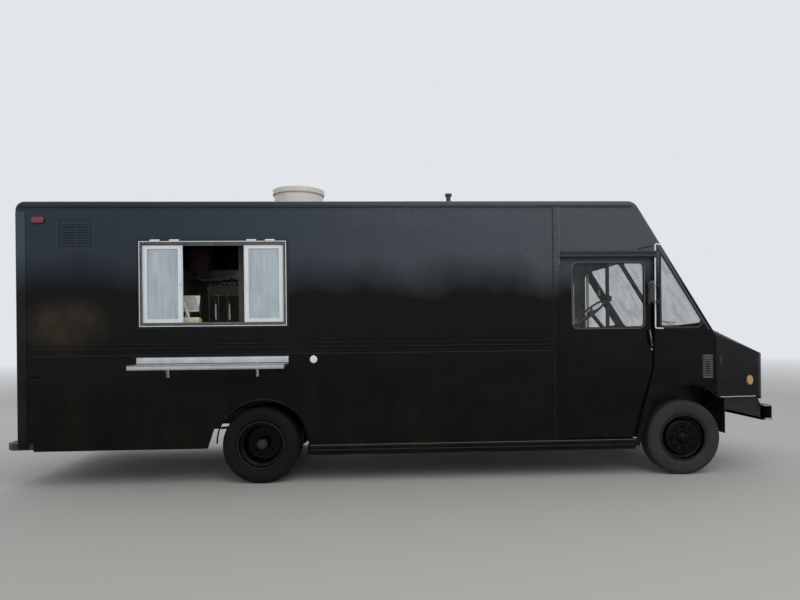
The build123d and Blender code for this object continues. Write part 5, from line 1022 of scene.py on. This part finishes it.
def pad(name, outline, half_width):
    """Crowned cushion: a closed side outline, its faces swollen between the seams and tucked in at the channels."""
    block = Shape().side_plate(rounded(outline, 0.03, 3), DRIVER_Y - half_width, DRIVER_Y + half_width)
    soft = placed(name, block.as_mesh(name))
    melt = soft.modifiers.new("remesh", "REMESH")
    melt.mode = "VOXEL"
    melt.voxel_size = VOXEL
    smooth = soft.modifiers.new("smooth", "SMOOTH")
    smooth.iterations = 6
    smooth.factor = 0.8
    done = bpy.data.meshes.new_from_object(soft.evaluated_get(bpy.context.evaluated_depsgraph_get()))
    bpy.data.objects.remove(soft)
    low, high = (Vector([end(v.co[k] for v in done.vertices) for k in range(3)]) for end in (min, max))
    middle, half = (low + high) / 2, (high - low) / 2
    for vertex in done.vertices:
        share = [(vertex.co[k] - middle[k]) / half[k] for k in range(3)]
        channel = 0.5 + 0.5 * math.cos(share[1] * math.pi * CHANNELS)
        crown = (1 - share[0] ** 4) * (1 - share[1] ** 4)
        vertex.co += vertex.normal * (SWELL * crown - TUCK * (1 - channel) ** 6 - TUCK)
    done.materials.clear()
    done.materials.append(FINISHES["seat_vinyl"])
    made = piece(name, done, FINISHES["seat_vinyl"], crease=60.0)
    round_off = made.modifiers.new("soft", "SUBSURF")
    round_off.levels = round_off.render_levels = 1
    return made


cushion = pad("seat_cushion", [(SEAT_X - 0.212, 1.168), (SEAT_X + 0.25, 1.168), (SEAT_X + 0.252, 1.252),
                               (SEAT_X - 0.212, 1.234)], 0.224)
back = pad("seat_back", [(SEAT_X - 0.205, 1.225), (SEAT_X - 0.132, 1.245), (SEAT_X - 0.222, 1.85),
                         (SEAT_X - 0.295, 1.835)], 0.214)
base = Shape().flat_plate(oblong(SEAT_X - 0.18, SEAT_X + 0.18, 0.37, 0.73), 0.8065, 0.8165)
base.turned([(0, 0.088), (0.015, 0.075), (0.30, 0.07), (0.31, 0.088), (0.343, 0.088)], (SEAT_X, DRIVER_Y, 0.8165),
            UPWARD)
base.block((SEAT_X - 0.19, 0.35, 1.158), (SEAT_X + 0.19, 0.75, 1.168))
piece("seat_pedestal", base, black, bevel=0.002)
for made in (cushion, back):
    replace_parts(made, "driver_seat")

WHEEL_X = FRONT_AXLE - 0.412
WHEEL_TILT = math.radians(39.5)
out = Vector((-math.sin(WHEEL_TILT), 0, math.cos(WHEEL_TILT)))
hub = Vector((WHEEL_X, DRIVER_Y, 1.839))
button = Shape().turned([(0, 0.045), (0.006, 0.045), (0.012, 0.03), (0.014, 0)], hub, out, 24)
piece("horn_button", button, rubber)
stalk = Shape().pipe([hub - out * 0.06, Vector((WHEEL_X, 0.62, 1.85)) - out * 0.055,
                      Vector((WHEEL_X - 0.01, 0.72, 1.87)) - out * 0.04], 0.005, 8)
piece("turn_stalk", stalk, rubber)
dash_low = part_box("dashboard")[0]
gauges = Shape()
for y, z in ((0.45, 1.505), (0.58, 1.505), (0.68, 1.495), (0.68, 1.445)):
    gauges.turned([(0, 0.028), (0.006, 0.032), (0.01, 0.03), (0.01, 0.026), (0.004, 0.024), (0.004, 0)],
                  (dash_low.x + 0.016, y, z), (-1, 0, 0.35), 24)
piece("gauges", gauges, chrome)
pedals = Shape()
for y, wide in ((0.43, 0.05), (0.6, 0.07)):
    pedals.prism(oblong(-wide / 2, wide / 2, -0.045, 0.045), lambda a, b: (2.98 + b * 0.5, y + a, 0.93 + b),
                 lambda a, b: (2.994 + b * 0.5, y + a, 0.922 + b))
    pedals.rod((2.992, y, 0.925), (3.09, y, 1.05), 0.007, 8)
piece("pedals", pedals, rubber, bevel=0.001)
tag = Shape().block((2.826, 0.545, 2.06), (2.834, 0.615, 2.135))
piece("hanging_tag", tag.rod((2.83, 0.58, 2.135), (2.83, 0.58, 2.44), 0.0015, 6), tag_green)
liner = Shape().block((2.845, SKIN - 0.05, 1.56), (2.885, SKIN - 0.042, 2.44))
piece("far_post_liner", liner, white_trim, bevel=0.002)


# ---- Hood ----

HOOD_HALF = SKIN - 0.005
HOOD_TAPER = 0.060
HOOD_RUN = FRONT_AXLE + 0.936 - hood_low.x
GRILLE_X = FRONT_AXLE + 0.9305
NODES["hood"].data.materials[0] = black_enamel("hood_enamel", 0.28)
NODES["front_bumper"].data.materials[0] = satin_black("bumper_black", (0.004, 0.004, 0.0042), (0.03, 0.025, 0.02), 0.3)


def fender_y(x, lift=0.0):
    """Half width of the hood's flank at a place along it."""
    return HOOD_HALF - HOOD_TAPER * (x - hood_low.x) / HOOD_RUN + lift


def hood_strip(name, runs, facing, width, depth, finish, **more):
    return moulding(name, runs, facing, width, depth, finish, "hood_unit", **more)


for side, word in SIDES:
    facing = OUT[side > 0]
    foot = [(x, side * fender_y(x, 0.001), 0.846) for x in (3.492, 3.62, 3.76, 3.915)]
    hood_strip(f"fender_foot_{word}", [foot], facing, 0.009, 0.004, bright)
    lamp = at_x(FRONT_AXLE + 0.9335, oblong(side * 0.603, side * 0.877, 0.989, 1.181))
    hood_strip(f"headlamp_bezel_{word}", [lamp], AHEAD, 0.016, 0.008, chrome, corner=0.024, closed=True)
    ribs = [at_x(FRONT_AXLE + 0.9325, [(side * y, 1.01), (side * y, 1.16)]) for y in (0.67, 0.74, 0.81)]
    hood_strip(f"headlamp_ribs_{word}", ribs, AHEAD, 0.004, 0.003, FINISHES["lamp_lens"])
    rim = Shape().turned([(-0.004, 0.0375), (0.003, 0.0375), (0.003, 0.044), (-0.004, 0.046)], (0, 0, 0), UPWARD, 32,
                         True)
    x = FRONT_AXLE + 0.742
    lean = Matrix.Rotation(-side * math.atan(HOOD_TAPER / HOOD_RUN), 4, "Z")
    rim.mesh.transform(Matrix.Translation((x, side * fender_y(x), 1.024)) @ lean
                       @ Matrix.Rotation(-side * math.pi / 2, 4, "X") @ Matrix.Diagonal((1.0, 1.42, 1.0, 1.0)))
    piece(f"marker_rim_{word}", rim, rubber, "hood_unit")
    x = hood_low.x + 0.03
    catch = flank_block(Shape(), side, x, x + 0.026, 1.150, 1.1695, 1.20, 1.30)
    catch.rod((x + 0.013, side * 1.168, 1.19), (x + 0.013, side * 1.168, 1.31), 0.005, 8)
    piece(f"hood_catch_{word}", catch, rubber, "hood_unit", bevel=0.003)
    x = hood_low.x + 0.02
    studs(f"hood_rivets_{word}", [[(x, side * fender_y(x, 0.0005), z) for z in (1.05, 1.55)]], facing, enamel,
          "hood_unit", pitch=0.12, radius=0.006, height=0.003)
hood_strip("grille_edge", [at_x(GRILLE_X, oblong(-0.512, 0.512, 0.933, 1.227))], AHEAD, 0.012, 0.006, bright,
           corner=0.034, closed=True)
grille_wires = [at_x(GRILLE_X - 0.034, [(-0.47, 0.965 + 0.012 * k), (0.47, 0.965 + 0.012 * k)]) for k in range(20)]
grille_wires += [at_x(GRILLE_X - 0.0355, [(-0.47 + 0.02 * k, 0.96), (-0.47 + 0.02 * k, 1.2)]) for k in range(48)]
hood_strip("grille_mesh", grille_wires, AHEAD, 0.0015, 0.0015, black)
lip = Shape().cross_plate(rounded(oblong(-0.34, 0.34, 0.773, 0.832), 0.006), 4.008, 4.0145)
piece("apron_lip", lip, rubber, "hood_unit", bevel=0.0015)
bumper_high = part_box("front_bumper")[1]
NOSE = bumper_high.x
BUMPER_LIFT = bumper_high.y + 0.0005 - SKIN
# Bright bars on the bumper's end: painted highlights
flank_strips([("bumper_edge", [[(NOSE - 0.092, 0.7385), (NOSE - 0.006, 0.7385)]], BUMPER_LIFT, 0.009, 0.003, bright),
              ("bumper_tip", [[(NOSE - 0.078, 0.5925), (NOSE - 0.008, 0.5925)]], BUMPER_LIFT, 0.017, 0.003, bright)])


# ---- Wheels ----

wheel_black = FINISHES["wheel_paint"]
# A lighter copy of the tyre rubber for the front tyres: painted light on their sidewalls, where the rear tyres' darker
# rubber is painted shade in their arches
front_lit_rubber = own("tyre", worn_rubber("front_tyre_lit_rubber", (0.029, 0.0292, 0.029), (0.07, 0.066, 0.058)))
hub_grey = own("wheel_paint", moulded("dusty_hub", (0.007, 0.0068, 0.0064), 0.6, 160.0, 0.0006))
TWIN_GAP = 0.262
LUGS, NUTS = 64, 8
# Profiles of (distance outwards, radius) corners
SIDEWALL = [(-0.083, 0.2465), (-0.083, 0.2535), (-0.0945, 0.262), (-0.1035, 0.274), (-0.1045, 0.276),
            (-0.1062, 0.2765), (-0.1075, 0.281), (-0.1112, 0.300), (-0.1124, 0.318), (-0.1121, 0.334),
            (-0.1110, 0.345), (-0.1117, 0.3465), (-0.1110, 0.350), (-0.1085, 0.364), (-0.1040, 0.378),
            (-0.1025, 0.3785), (-0.0995, 0.388), (-0.094, 0.3975)]
GROOVES = [(-0.0865, 0.4028), (-0.062, 0.4028), (-0.060, 0.3945), (-0.051, 0.3945), (-0.049, 0.4028),
           (-0.0245, 0.4028), (-0.0225, 0.3935), (-0.0135, 0.3935), (-0.0115, 0.4028)]
HALF_TYRE = SIDEWALL + GROOVES
TYRE = HALF_TYRE + [(-along, radius) for along, radius in HALF_TYRE[::-1]]
NUT = [(0, 0.0), (0, 0.0165), (0.004, 0.0165), (0.004, 0.0135), (0.017, 0.0135), (0.020, 0.011), (0.026, 0.0095),
       (0.027, 0.0)]
RIM_LIP = [(0.0952, 0.2525), (0.0965, 0.250), (0.0965, 0.2445), (0.0952, 0.2425)]
FRONT_CAP = [(0.0985, 0.052), (0.1045, 0.05), (0.106, 0.047), (0.1035, 0.040), (0.1235, 0.030), (0.1275, 0.012),
             (0.1275, 0.0), (0.0985, 0.0)]
REAR_FLANGE = [(0.0605, 0.0), (0.0605, 0.037), (0.0625, 0.036), (0.0645, 0.02), (0.0645, 0.0)]
REAR_BARREL = [(-0.012, 0.0), (-0.012, 0.0565), (0.051, 0.0528), (0.0595, 0.0388), (0.0603, 0.0)]
HUB_BOLT = [(0.0535, 0.0), (0.0535, 0.0055), (0.0605, 0.0055), (0.0605, 0.0)]


def tyre_piece(name, x, y, body, node, finish):
    """Tyre with circumferential grooves, bead rings and rounded shoulders, and the lugs round its tread."""
    tyre = Shape().turned(TYRE, (x, y, HUB), OUT[1], 96, True)
    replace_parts(piece(name, tyre, finish, body, crease=50.0), node)
    lug = Shape()
    for edge in (-1, 1):
        inner, outer = y + edge * 0.088, y + edge * 0.1055
        ring = [(x - 0.0075, inner, HUB + 0.3965), (x + 0.0075, inner, HUB + 0.3965), (x + 0.006, outer, HUB + 0.377),
                (x - 0.006, outer, HUB + 0.377)]
        lug.skin([ring, [(a, b + edge * 0.0005, c + 0.0053) for a, b, c in ring]])
    repeated(f"{name}_lugs", lug, LUGS, finish, OUT[1], (x, y, HUB), body)


for side, word in SIDES:
    y, facing = side * WHEEL_Y, OUT[side > 0]
    for axle, x, body, nut_seat in (("front", FRONT_AXLE, f"front_wheel_{word}", 0.078),
                                    ("rear", REAR_AXLE, f"rear_wheels_{word}", -0.116)):
        nut = Shape().turned(NUT, (x, y + side * nut_seat, HUB + 0.118), facing, 6)
        repeated(f"{axle}_nuts_{word}", nut, NUTS, wheel_black, OUT[1], (x, y, HUB), body)
        # The rim's lip is real; its lighter metal is a painted highlight
        lip = Shape().turned(RIM_LIP, (x, y, HUB), facing, 64, True)
        piece(f"{axle}_rim_lip_highlight_{word}", lip, faint_strip, body)
    x, body = FRONT_AXLE, f"front_wheel_{word}"
    tyre_piece(f"front_tread_{word}", x, y, body, f"front_tyre_{word}", front_lit_rubber)
    piece(f"front_cap_{word}", Shape().turned(FRONT_CAP, (x, y, HUB), facing, 40), wheel_black, body)
    stem = Shape().pipe([(x + 0.17, y + side * 0.06, HUB + 0.12), (x + 0.175, y + side * 0.088, HUB + 0.124)], 0.004, 8)
    piece(f"front_valve_{word}", stem, rubber, body)
    x, body = REAR_AXLE, f"rear_wheels_{word}"
    for twin, inwards in (("outer", 0.0), ("inner", TWIN_GAP)):
        tyre_piece(f"rear_tread_{twin}_{word}", x, y - side * inwards, body, f"rear_tyres_{word}", FINISHES["tyre"])
    piece(f"rear_hub_cap_{word}", Shape().turned(REAR_FLANGE, (x, y, HUB), facing), hub_grey, body)
    barrel = Shape().turned(REAR_BARREL, (x, y, HUB), facing, 40)
    barrel.mesh.transform(Matrix.Translation((x, y, HUB)) @ Matrix.Diagonal((1.006, 1.003, 1.006, 1.0))
                          @ Matrix.Translation((-x, -y, -HUB)))
    piece(f"rear_hub_barrel_{word}", barrel, hub_grey, body)
    bolt = Shape().turned(HUB_BOLT, (x, y, HUB + 0.0435), facing, 6)
    repeated(f"rear_hub_bolts_{word}", bolt, NUTS, wheel_black, OUT[1], (x, y, HUB), body)


# ---- Kitchen ----

counter_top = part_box("service_counter")[1].z
line_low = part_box("kitchen_line")[0]
till_low, till_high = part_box("till_tablet")
dark_red = own("seat_vinyl", moulded("dark_red_cloth", (0.014, 0.0016, 0.004), 0.9, 600.0, 0.0004))
kitchen_dark = own("black_plastic", moulded("kitchen_dark", (0.012, 0.012, 0.0125), 0.6))
wire_brown = own("stainless", moulded("greasy_wire", (0.2, 0.17, 0.13), 0.5))
grey_post = own("grey_trim", moulded("post_grey", (0.09, 0.09, 0.09), 0.6))
handle_white = own("white_plastic", moulded("handle_white", (0.5, 0.49, 0.46), 0.5))
warm_boards = own("floor_board", moulded("warm_boards", (0.3, 0.24, 0.17), 0.6))
till_pale = own("white_plastic", moulded("till_pale", (0.4, 0.4, 0.36), 0.4))
cream_plastic = own("white_plastic", moulded("cream_plastic", (0.62, 0.57, 0.38), 0.45))
HUNG_Y = -0.62
BASKET_BACK = HUNG_Y + 0.22
BASKET_END, BASKET_FLOOR = -2.15, 2.032

post = Shape().block((-1.800, HUNG_Y - 0.02, counter_top - 0.6), (-1.725, HUNG_Y + 0.02, 2.72))
piece("shelf_upright", post, grey_post, bevel=0.004)


def wires(name, runs, width, depth):
    """Greasy wires of (x, z) corners in the plane where things hang."""
    moulding(name, [[(x, HUNG_Y, z) for x, z in run] for run in runs], OUT[0], width, depth, wire_brown)


wires("wire_basket", [[(BASKET_END + 0.0275 * k, high if k % 2 else low) for k in range(14)]
                      for low, high in ((2.108, 2.152), (2.040, 2.084))], 0.006, 0.004)
wires("wire_basket_rails", [
    [(BASKET_END, 2.030), (-1.73, 2.030)], [(BASKET_END, 2.098), (-1.73, 2.098)], [(-1.99, 2.168), (-1.73, 2.168)],
    [(-2.237, 2.204), (-1.971, 2.204)], [(-2.25, 2.296), (-2.244, 2.208), (-2.226, 2.206)],
], 0.004, 0.003)
base = Shape()
for k in range(8):
    x = BASKET_END + 0.055 * k
    base.rod((x, HUNG_Y, BASKET_FLOOR), (x, BASKET_BACK, BASKET_FLOOR), 0.0025, 6)
base.rod((-2.155, BASKET_BACK, BASKET_FLOOR), (-1.725, BASKET_BACK, BASKET_FLOOR), 0.0035, 6)
for x in (BASKET_END, -1.765):
    base.rod((x, HUNG_Y + 0.11, 2.035), (x, HUNG_Y + 0.11, 2.70), 0.005, 8)
    base.rod((x, HUNG_Y, 2.035), (x, BASKET_BACK, 2.035), 0.004, 8)
piece("wire_basket_floor", base, kitchen_dark)
necks, handles = Shape(), Shape()
for x in (-2.059, -1.904):
    necks.pipe([(x - 0.043, HUNG_Y - 0.004, 2.034), (x - 0.03, HUNG_Y - 0.01, 2.01), (x, HUNG_Y - 0.016, 1.955),
                (x, HUNG_Y - 0.016, 1.93)], 0.010, 10)
    handles.turned([(0, 0.0), (0.002, 0.008), (0.03, 0.010), (0.15, 0.009), (0.183, 0.0075), (0.186, 0.0)],
                   (x, HUNG_Y - 0.016, 1.746), UPWARD, 14)
piece("ladle_necks", necks, kitchen_dark)
piece("ladle_handles", handles, handle_white)

# Gathered cloth on its hook: a bundle that swells from its neck, with five folds
APRON_X, APRON_TOP = -2.246, 2.572
ROWS_DOWN, CORNERS, FOLDS = 10, 28, 5
cloth = []
for k in range(ROWS_DOWN):
    ring = []
    for i in range(CORNERS):
        angle = 2 * math.pi * i / CORNERS
        swell = math.sin((0.12 + 0.72 * k / (ROWS_DOWN - 1)) * math.pi)
        radius = 0.03 + 0.072 * swell + 0.006 * math.sin(FOLDS * angle + k)
        ring.append((APRON_X + radius * 1.22 * math.cos(angle), HUNG_Y + radius * 0.5 * math.sin(angle),
                     APRON_TOP - 0.032 * k))
    cloth.append(ring)
piece("hanging_apron", Shape().skin(cloth), dark_red, crease=60.0)
piece("apron_hook", Shape().rod((APRON_X, HUNG_Y, 2.55), (APRON_X, HUNG_Y, 2.94), 0.004, 8), kitchen_dark)
boards = Shape()
for k in range(44):
    x = -3.0 + 0.062 * k
    boards.block((x, 1.100, 1.665), (x + 0.056, 1.112, 2.27))
piece("splash_boards", boards, warm_boards, bevel=0.001)

# Till: its drawer's lip, the tablet's back and neck, and the printer beside it
lip = Shape().block((till_low.x + 0.03, till_low.y + 0.02, counter_top + 0.002),
                    (till_high.x - 0.015, till_low.y + 0.03, counter_top + 0.006))
lip.block((till_low.x + 0.05, till_low.y + 0.012, counter_top + 0.03),
          (till_high.x - 0.05, till_low.y + 0.022, counter_top + 0.036))
piece("till_drawer_lip", lip, frame_grey, bevel=0.001)
leaning = rounded([(-2.405, 2.007), (-2.199, 2.007), (-2.147, 1.843), (-2.352, 1.843)], 0.008)
piece("till_screen_back", Shape().side_plate(leaning, -0.962, -0.948), till_pale, bevel=0.002)
neck = Shape().pipe([(-2.315, -0.953, 1.93), (-2.30, -0.956, 1.87), (-2.262, -0.965, 1.765)], 0.014)
piece("till_neck", neck, FINISHES["white_plastic"])
printer = Shape().block((-2.345, -1.035, counter_top), (-2.134, -0.925, 1.757))
printer.block((-2.335, -1.03, 1.757), (-2.142, -0.93, 1.769))
printer.block((-2.30, -1.038, 1.70), (-2.18, -1.035, 1.705))
piece("receipt_printer", printer, cream_plastic, bevel=0.004)
lining = [[(line_low.x + 0.05, 1.075, 1.95 + 0.12 * k), (0.40, 1.075, 1.95 + 0.12 * k)] for k in range(3)]
moulding("splash_seams", lining, OUT[0], 0.004, 0.003, steel)


# ---- Rear ----

BACK_X = frame_low.x if frame_low.x > -3.97 else -3.969


def rear_rivets(name, runs, body="truck"):
    studs(name, [at_x(BACK_X - 0.0002, run) for run in runs], ASTERN, enamel, body, pitch=0.1)


for side, word in SIDES:
    body = f"rear_door_{word}"
    edge = at_x(BACK_X - 0.0008, oblong(side * 0.020, side * 0.696, 0.83, 2.59))
    moulding(f"rear_door_edge_{word}", [edge], ASTERN, 0.010, 0.0028, enamel, body, corner=0.02, closed=True)
    ring = at_x(BACK_X + 0.001, oblong(side * 0.15, side * 0.59, 1.64, 2.36))
    moulding(f"rear_glass_gasket_{word}", [ring], ASTERN, 0.02, 0.010, rubber, body, corner=0.055, closed=True)
    bolts = [at_x(BACK_X - 0.0005, [(side * 0.575, z - 0.018), (side * 0.575, z + 0.018)])
             for z in (1.0184, 1.71, 2.4016)]
    studs(f"rear_hinge_bolts_{word}", bolts, ASTERN, steel, body, pitch=0.036, radius=0.006)
    rear_rivets(f"rear_door_rivets_{word}", [[(side * 0.05, 0.86), (side * 0.05, 1.6)],
                                             [(side * 0.68, 0.86), (side * 0.68, 1.6)],
                                             [(side * 0.05, 2.42), (side * 0.68, 2.42)]], body)
    rear_rivets(f"rear_post_rivets_{word}", [[(side * y, 0.52), (side * y, 2.86)] for y in (0.85, 1.12)])
    ring = Shape()
    for z in (0.70, 0.84, 0.98):
        ring.turned([(0, 0.0545), (0, 0.063), (0.008, 0.0615), (0.012, 0.0545)], (BACK_X, side * 1.04, z), ASTERN,
                    40, True)
    piece(f"tail_lamp_rings_{word}", ring, rubber)
rear_rivets("rear_head_rivets", [[(-0.72, 2.66), (0.72, 2.66)], [(-1.05, 2.86), (1.05, 2.86)]])
drip = at_x(BACK_X - 0.004, [(-0.76, 2.635), (0.76, 2.635)])
moulding("rear_drip_strip", [drip], ASTERN, 0.014, 0.012, faint_strip)
lamps = Shape()
for y, z in ((-0.16, 2.76), (0.0, 2.76), (0.16, 2.76), (-1.02, 2.80), (1.02, 2.80)):
    lamps.block((BACK_X - 0.016, y - 0.035, z), (BACK_X, y + 0.035, z + 0.025))
piece("rear_markers", lamps, FINISHES["red_lens"], bevel=0.004)
plate = Shape().cross_plate(rounded(oblong(-0.66, -0.36, 1.28, 1.43), 0.012), BACK_X - 0.004, BACK_X - 0.001)
piece("rear_plate_place", plate, dull_strip, "rear_door_right", bevel=0.001)
tread = Shape()
for i in range(44):
    y = -1.07 + 0.0498 * i
    for j in range(4):
        x = -4.072 + 0.032 * j
        lean = 0.009 if (i + j) % 2 else -0.009
        tread.flat_plate([(x - 0.009, y - lean), (x, y - 0.004), (x + 0.009, y + lean), (x, y + 0.004)], 0.4738, 0.4762)
piece("step_tread", tread, dull_strip)


# ---- Underneath ----

bolts, shocks = Shape(), Shape()
for side in (RIGHT, LEFT):
    # axle, spring's distance from the middle, bolts' places along and across, their foot, top and radius
    for x, y, along, across, foot, top, radius in ((REAR_AXLE, 0.505, 0.075, 0.05, 0.30, 0.60, 0.008),
                                                   (FRONT_AXLE, 0.394, 0.07, 0.045, 0.33, 0.52, 0.007)):
        for dx in (-along, along):
            for dy in (-across, across):
                bolts.rod((x + dx, side * y + dy, foot), (x + dx, side * y + dy, top), radius, 8)
    for foot_x, top_x, foot_y in ((REAR_AXLE - 0.13, REAR_AXLE - 0.30, 0.62),
                                  (FRONT_AXLE - 0.10, FRONT_AXLE - 0.24, 0.52)):
        foot, head = Vector((foot_x, side * foot_y, 0.36)), Vector((top_x, side * 0.47, 0.68))
        middle = foot.lerp(head, 0.5)
        shocks.rod(foot, middle, 0.03).rod(middle, head, 0.022)
piece("spring_bolts", bolts, FINISHES["axle_iron"])
piece("shock_absorbers", shocks, black, bevel=0.002)
pipes = Shape().pipe([(2.4, 0.40, 0.69), (0.5, 0.40, 0.69), (-0.6, 0.40, 0.68), (-1.2, 0.40, 0.66),
                      (-1.38, 0.30, 0.56)], 0.005, 8)
piece("brake_lines", pipes.pipe([(2.4, -0.40, 0.70), (0.4, -0.40, 0.70), (-0.4, -0.40, 0.69)], 0.006, 8), black)


# ---- Studio: floor, light and camera ----

SKY = (0.76, 0.79, 0.83)
CAMERA_PLACE = Vector((-0.283, -7.531, 1.577))
CAMERA_YAW = math.radians(2.6)
CAMERA_ROLL = -0.0106639
LENS_MM, SENSOR_MM = 27.0, 36.0
SHIFT_UP = 33.15 / 800
AIM = Vector((0, 0, 1.2))


def studio_floor():
    """Wide pale floor that fades into the backdrop's tone far from the truck."""
    mesh = bpy.data.meshes.new("studio_floor")
    ring = bmesh.new()
    bmesh.ops.create_circle(ring, cap_ends=True, radius=70.0, segments=96)
    ring.to_mesh(mesh)
    ring.free()
    pale = Finish("pale_floor", (0.42, 0.40, 0.37), 0.85)
    length = pale.node("ShaderNodeVectorMath", [("operation", "LENGTH")], Vector=pale.place).outputs["Value"]
    blend = pale.node("ShaderNodeMixShader", Fac=pale.spread(length, 11.0, 34.0))
    glow = pale.node("ShaderNodeEmission", Color=(*SKY, 1.0), Strength=1.0)
    pale.give(blend.inputs[1], pale.shader.outputs[0])
    pale.give(blend.inputs[2], glow.outputs[0])
    pale.give(pale.tree.nodes["Material Output"].inputs["Surface"], blend.outputs[0])
    mesh.materials.append(pale.material)
    placed("studio_floor", mesh)


def studio_light():
    """Even sky light, one large soft lamp over the serving side and a weaker one over the far side."""
    world = bpy.data.worlds.new("studio_sky")
    world.use_nodes = True
    backdrop = world.node_tree.nodes["Background"].inputs
    backdrop["Color"].default_value = (*SKY, 1.0)
    backdrop["Strength"].default_value = 1.0
    bpy.context.scene.world = world
    for name, place, power in (("key_lamp", (2.0, -7.0, 7.5), 260.0), ("far_lamp", (-3.0, 7.5, 6.5), 220.0)):
        lamp = bpy.data.lights.new(name, "AREA")
        lamp.size = 7.0
        lamp.energy = power
        made = placed(name, lamp)
        made.location = place
        made.rotation_euler = (AIM - Vector(place)).to_track_quat("-Z", "Y").to_euler()


def studio_camera():
    """Level camera at head height before the serving side, a little rolled and turned to the front."""
    lens = bpy.data.cameras.new("view")
    lens.sensor_width = SENSOR_MM
    lens.lens = LENS_MM
    lens.shift_y = SHIFT_UP
    lens.clip_end = 200.0
    sine, cosine = math.sin(CAMERA_YAW), math.cos(CAMERA_YAW)
    aside, up = Vector((cosine, -sine, 0.0)), Vector((0.0, 0.0, 1.0))
    across = math.cos(CAMERA_ROLL) * aside + math.sin(CAMERA_ROLL) * up
    rise = -math.sin(CAMERA_ROLL) * aside + math.cos(CAMERA_ROLL) * up
    camera = placed("view", lens)
    turned = Matrix((across, rise, (-sine, -cosine, 0.0))).transposed().to_4x4()
    camera.matrix_world = Matrix.Translation(CAMERA_PLACE) @ turned
    bpy.context.scene.camera = camera


studio_floor()
studio_light()
studio_camera()
bpy.context.scene.view_settings.view_transform = "Standard"
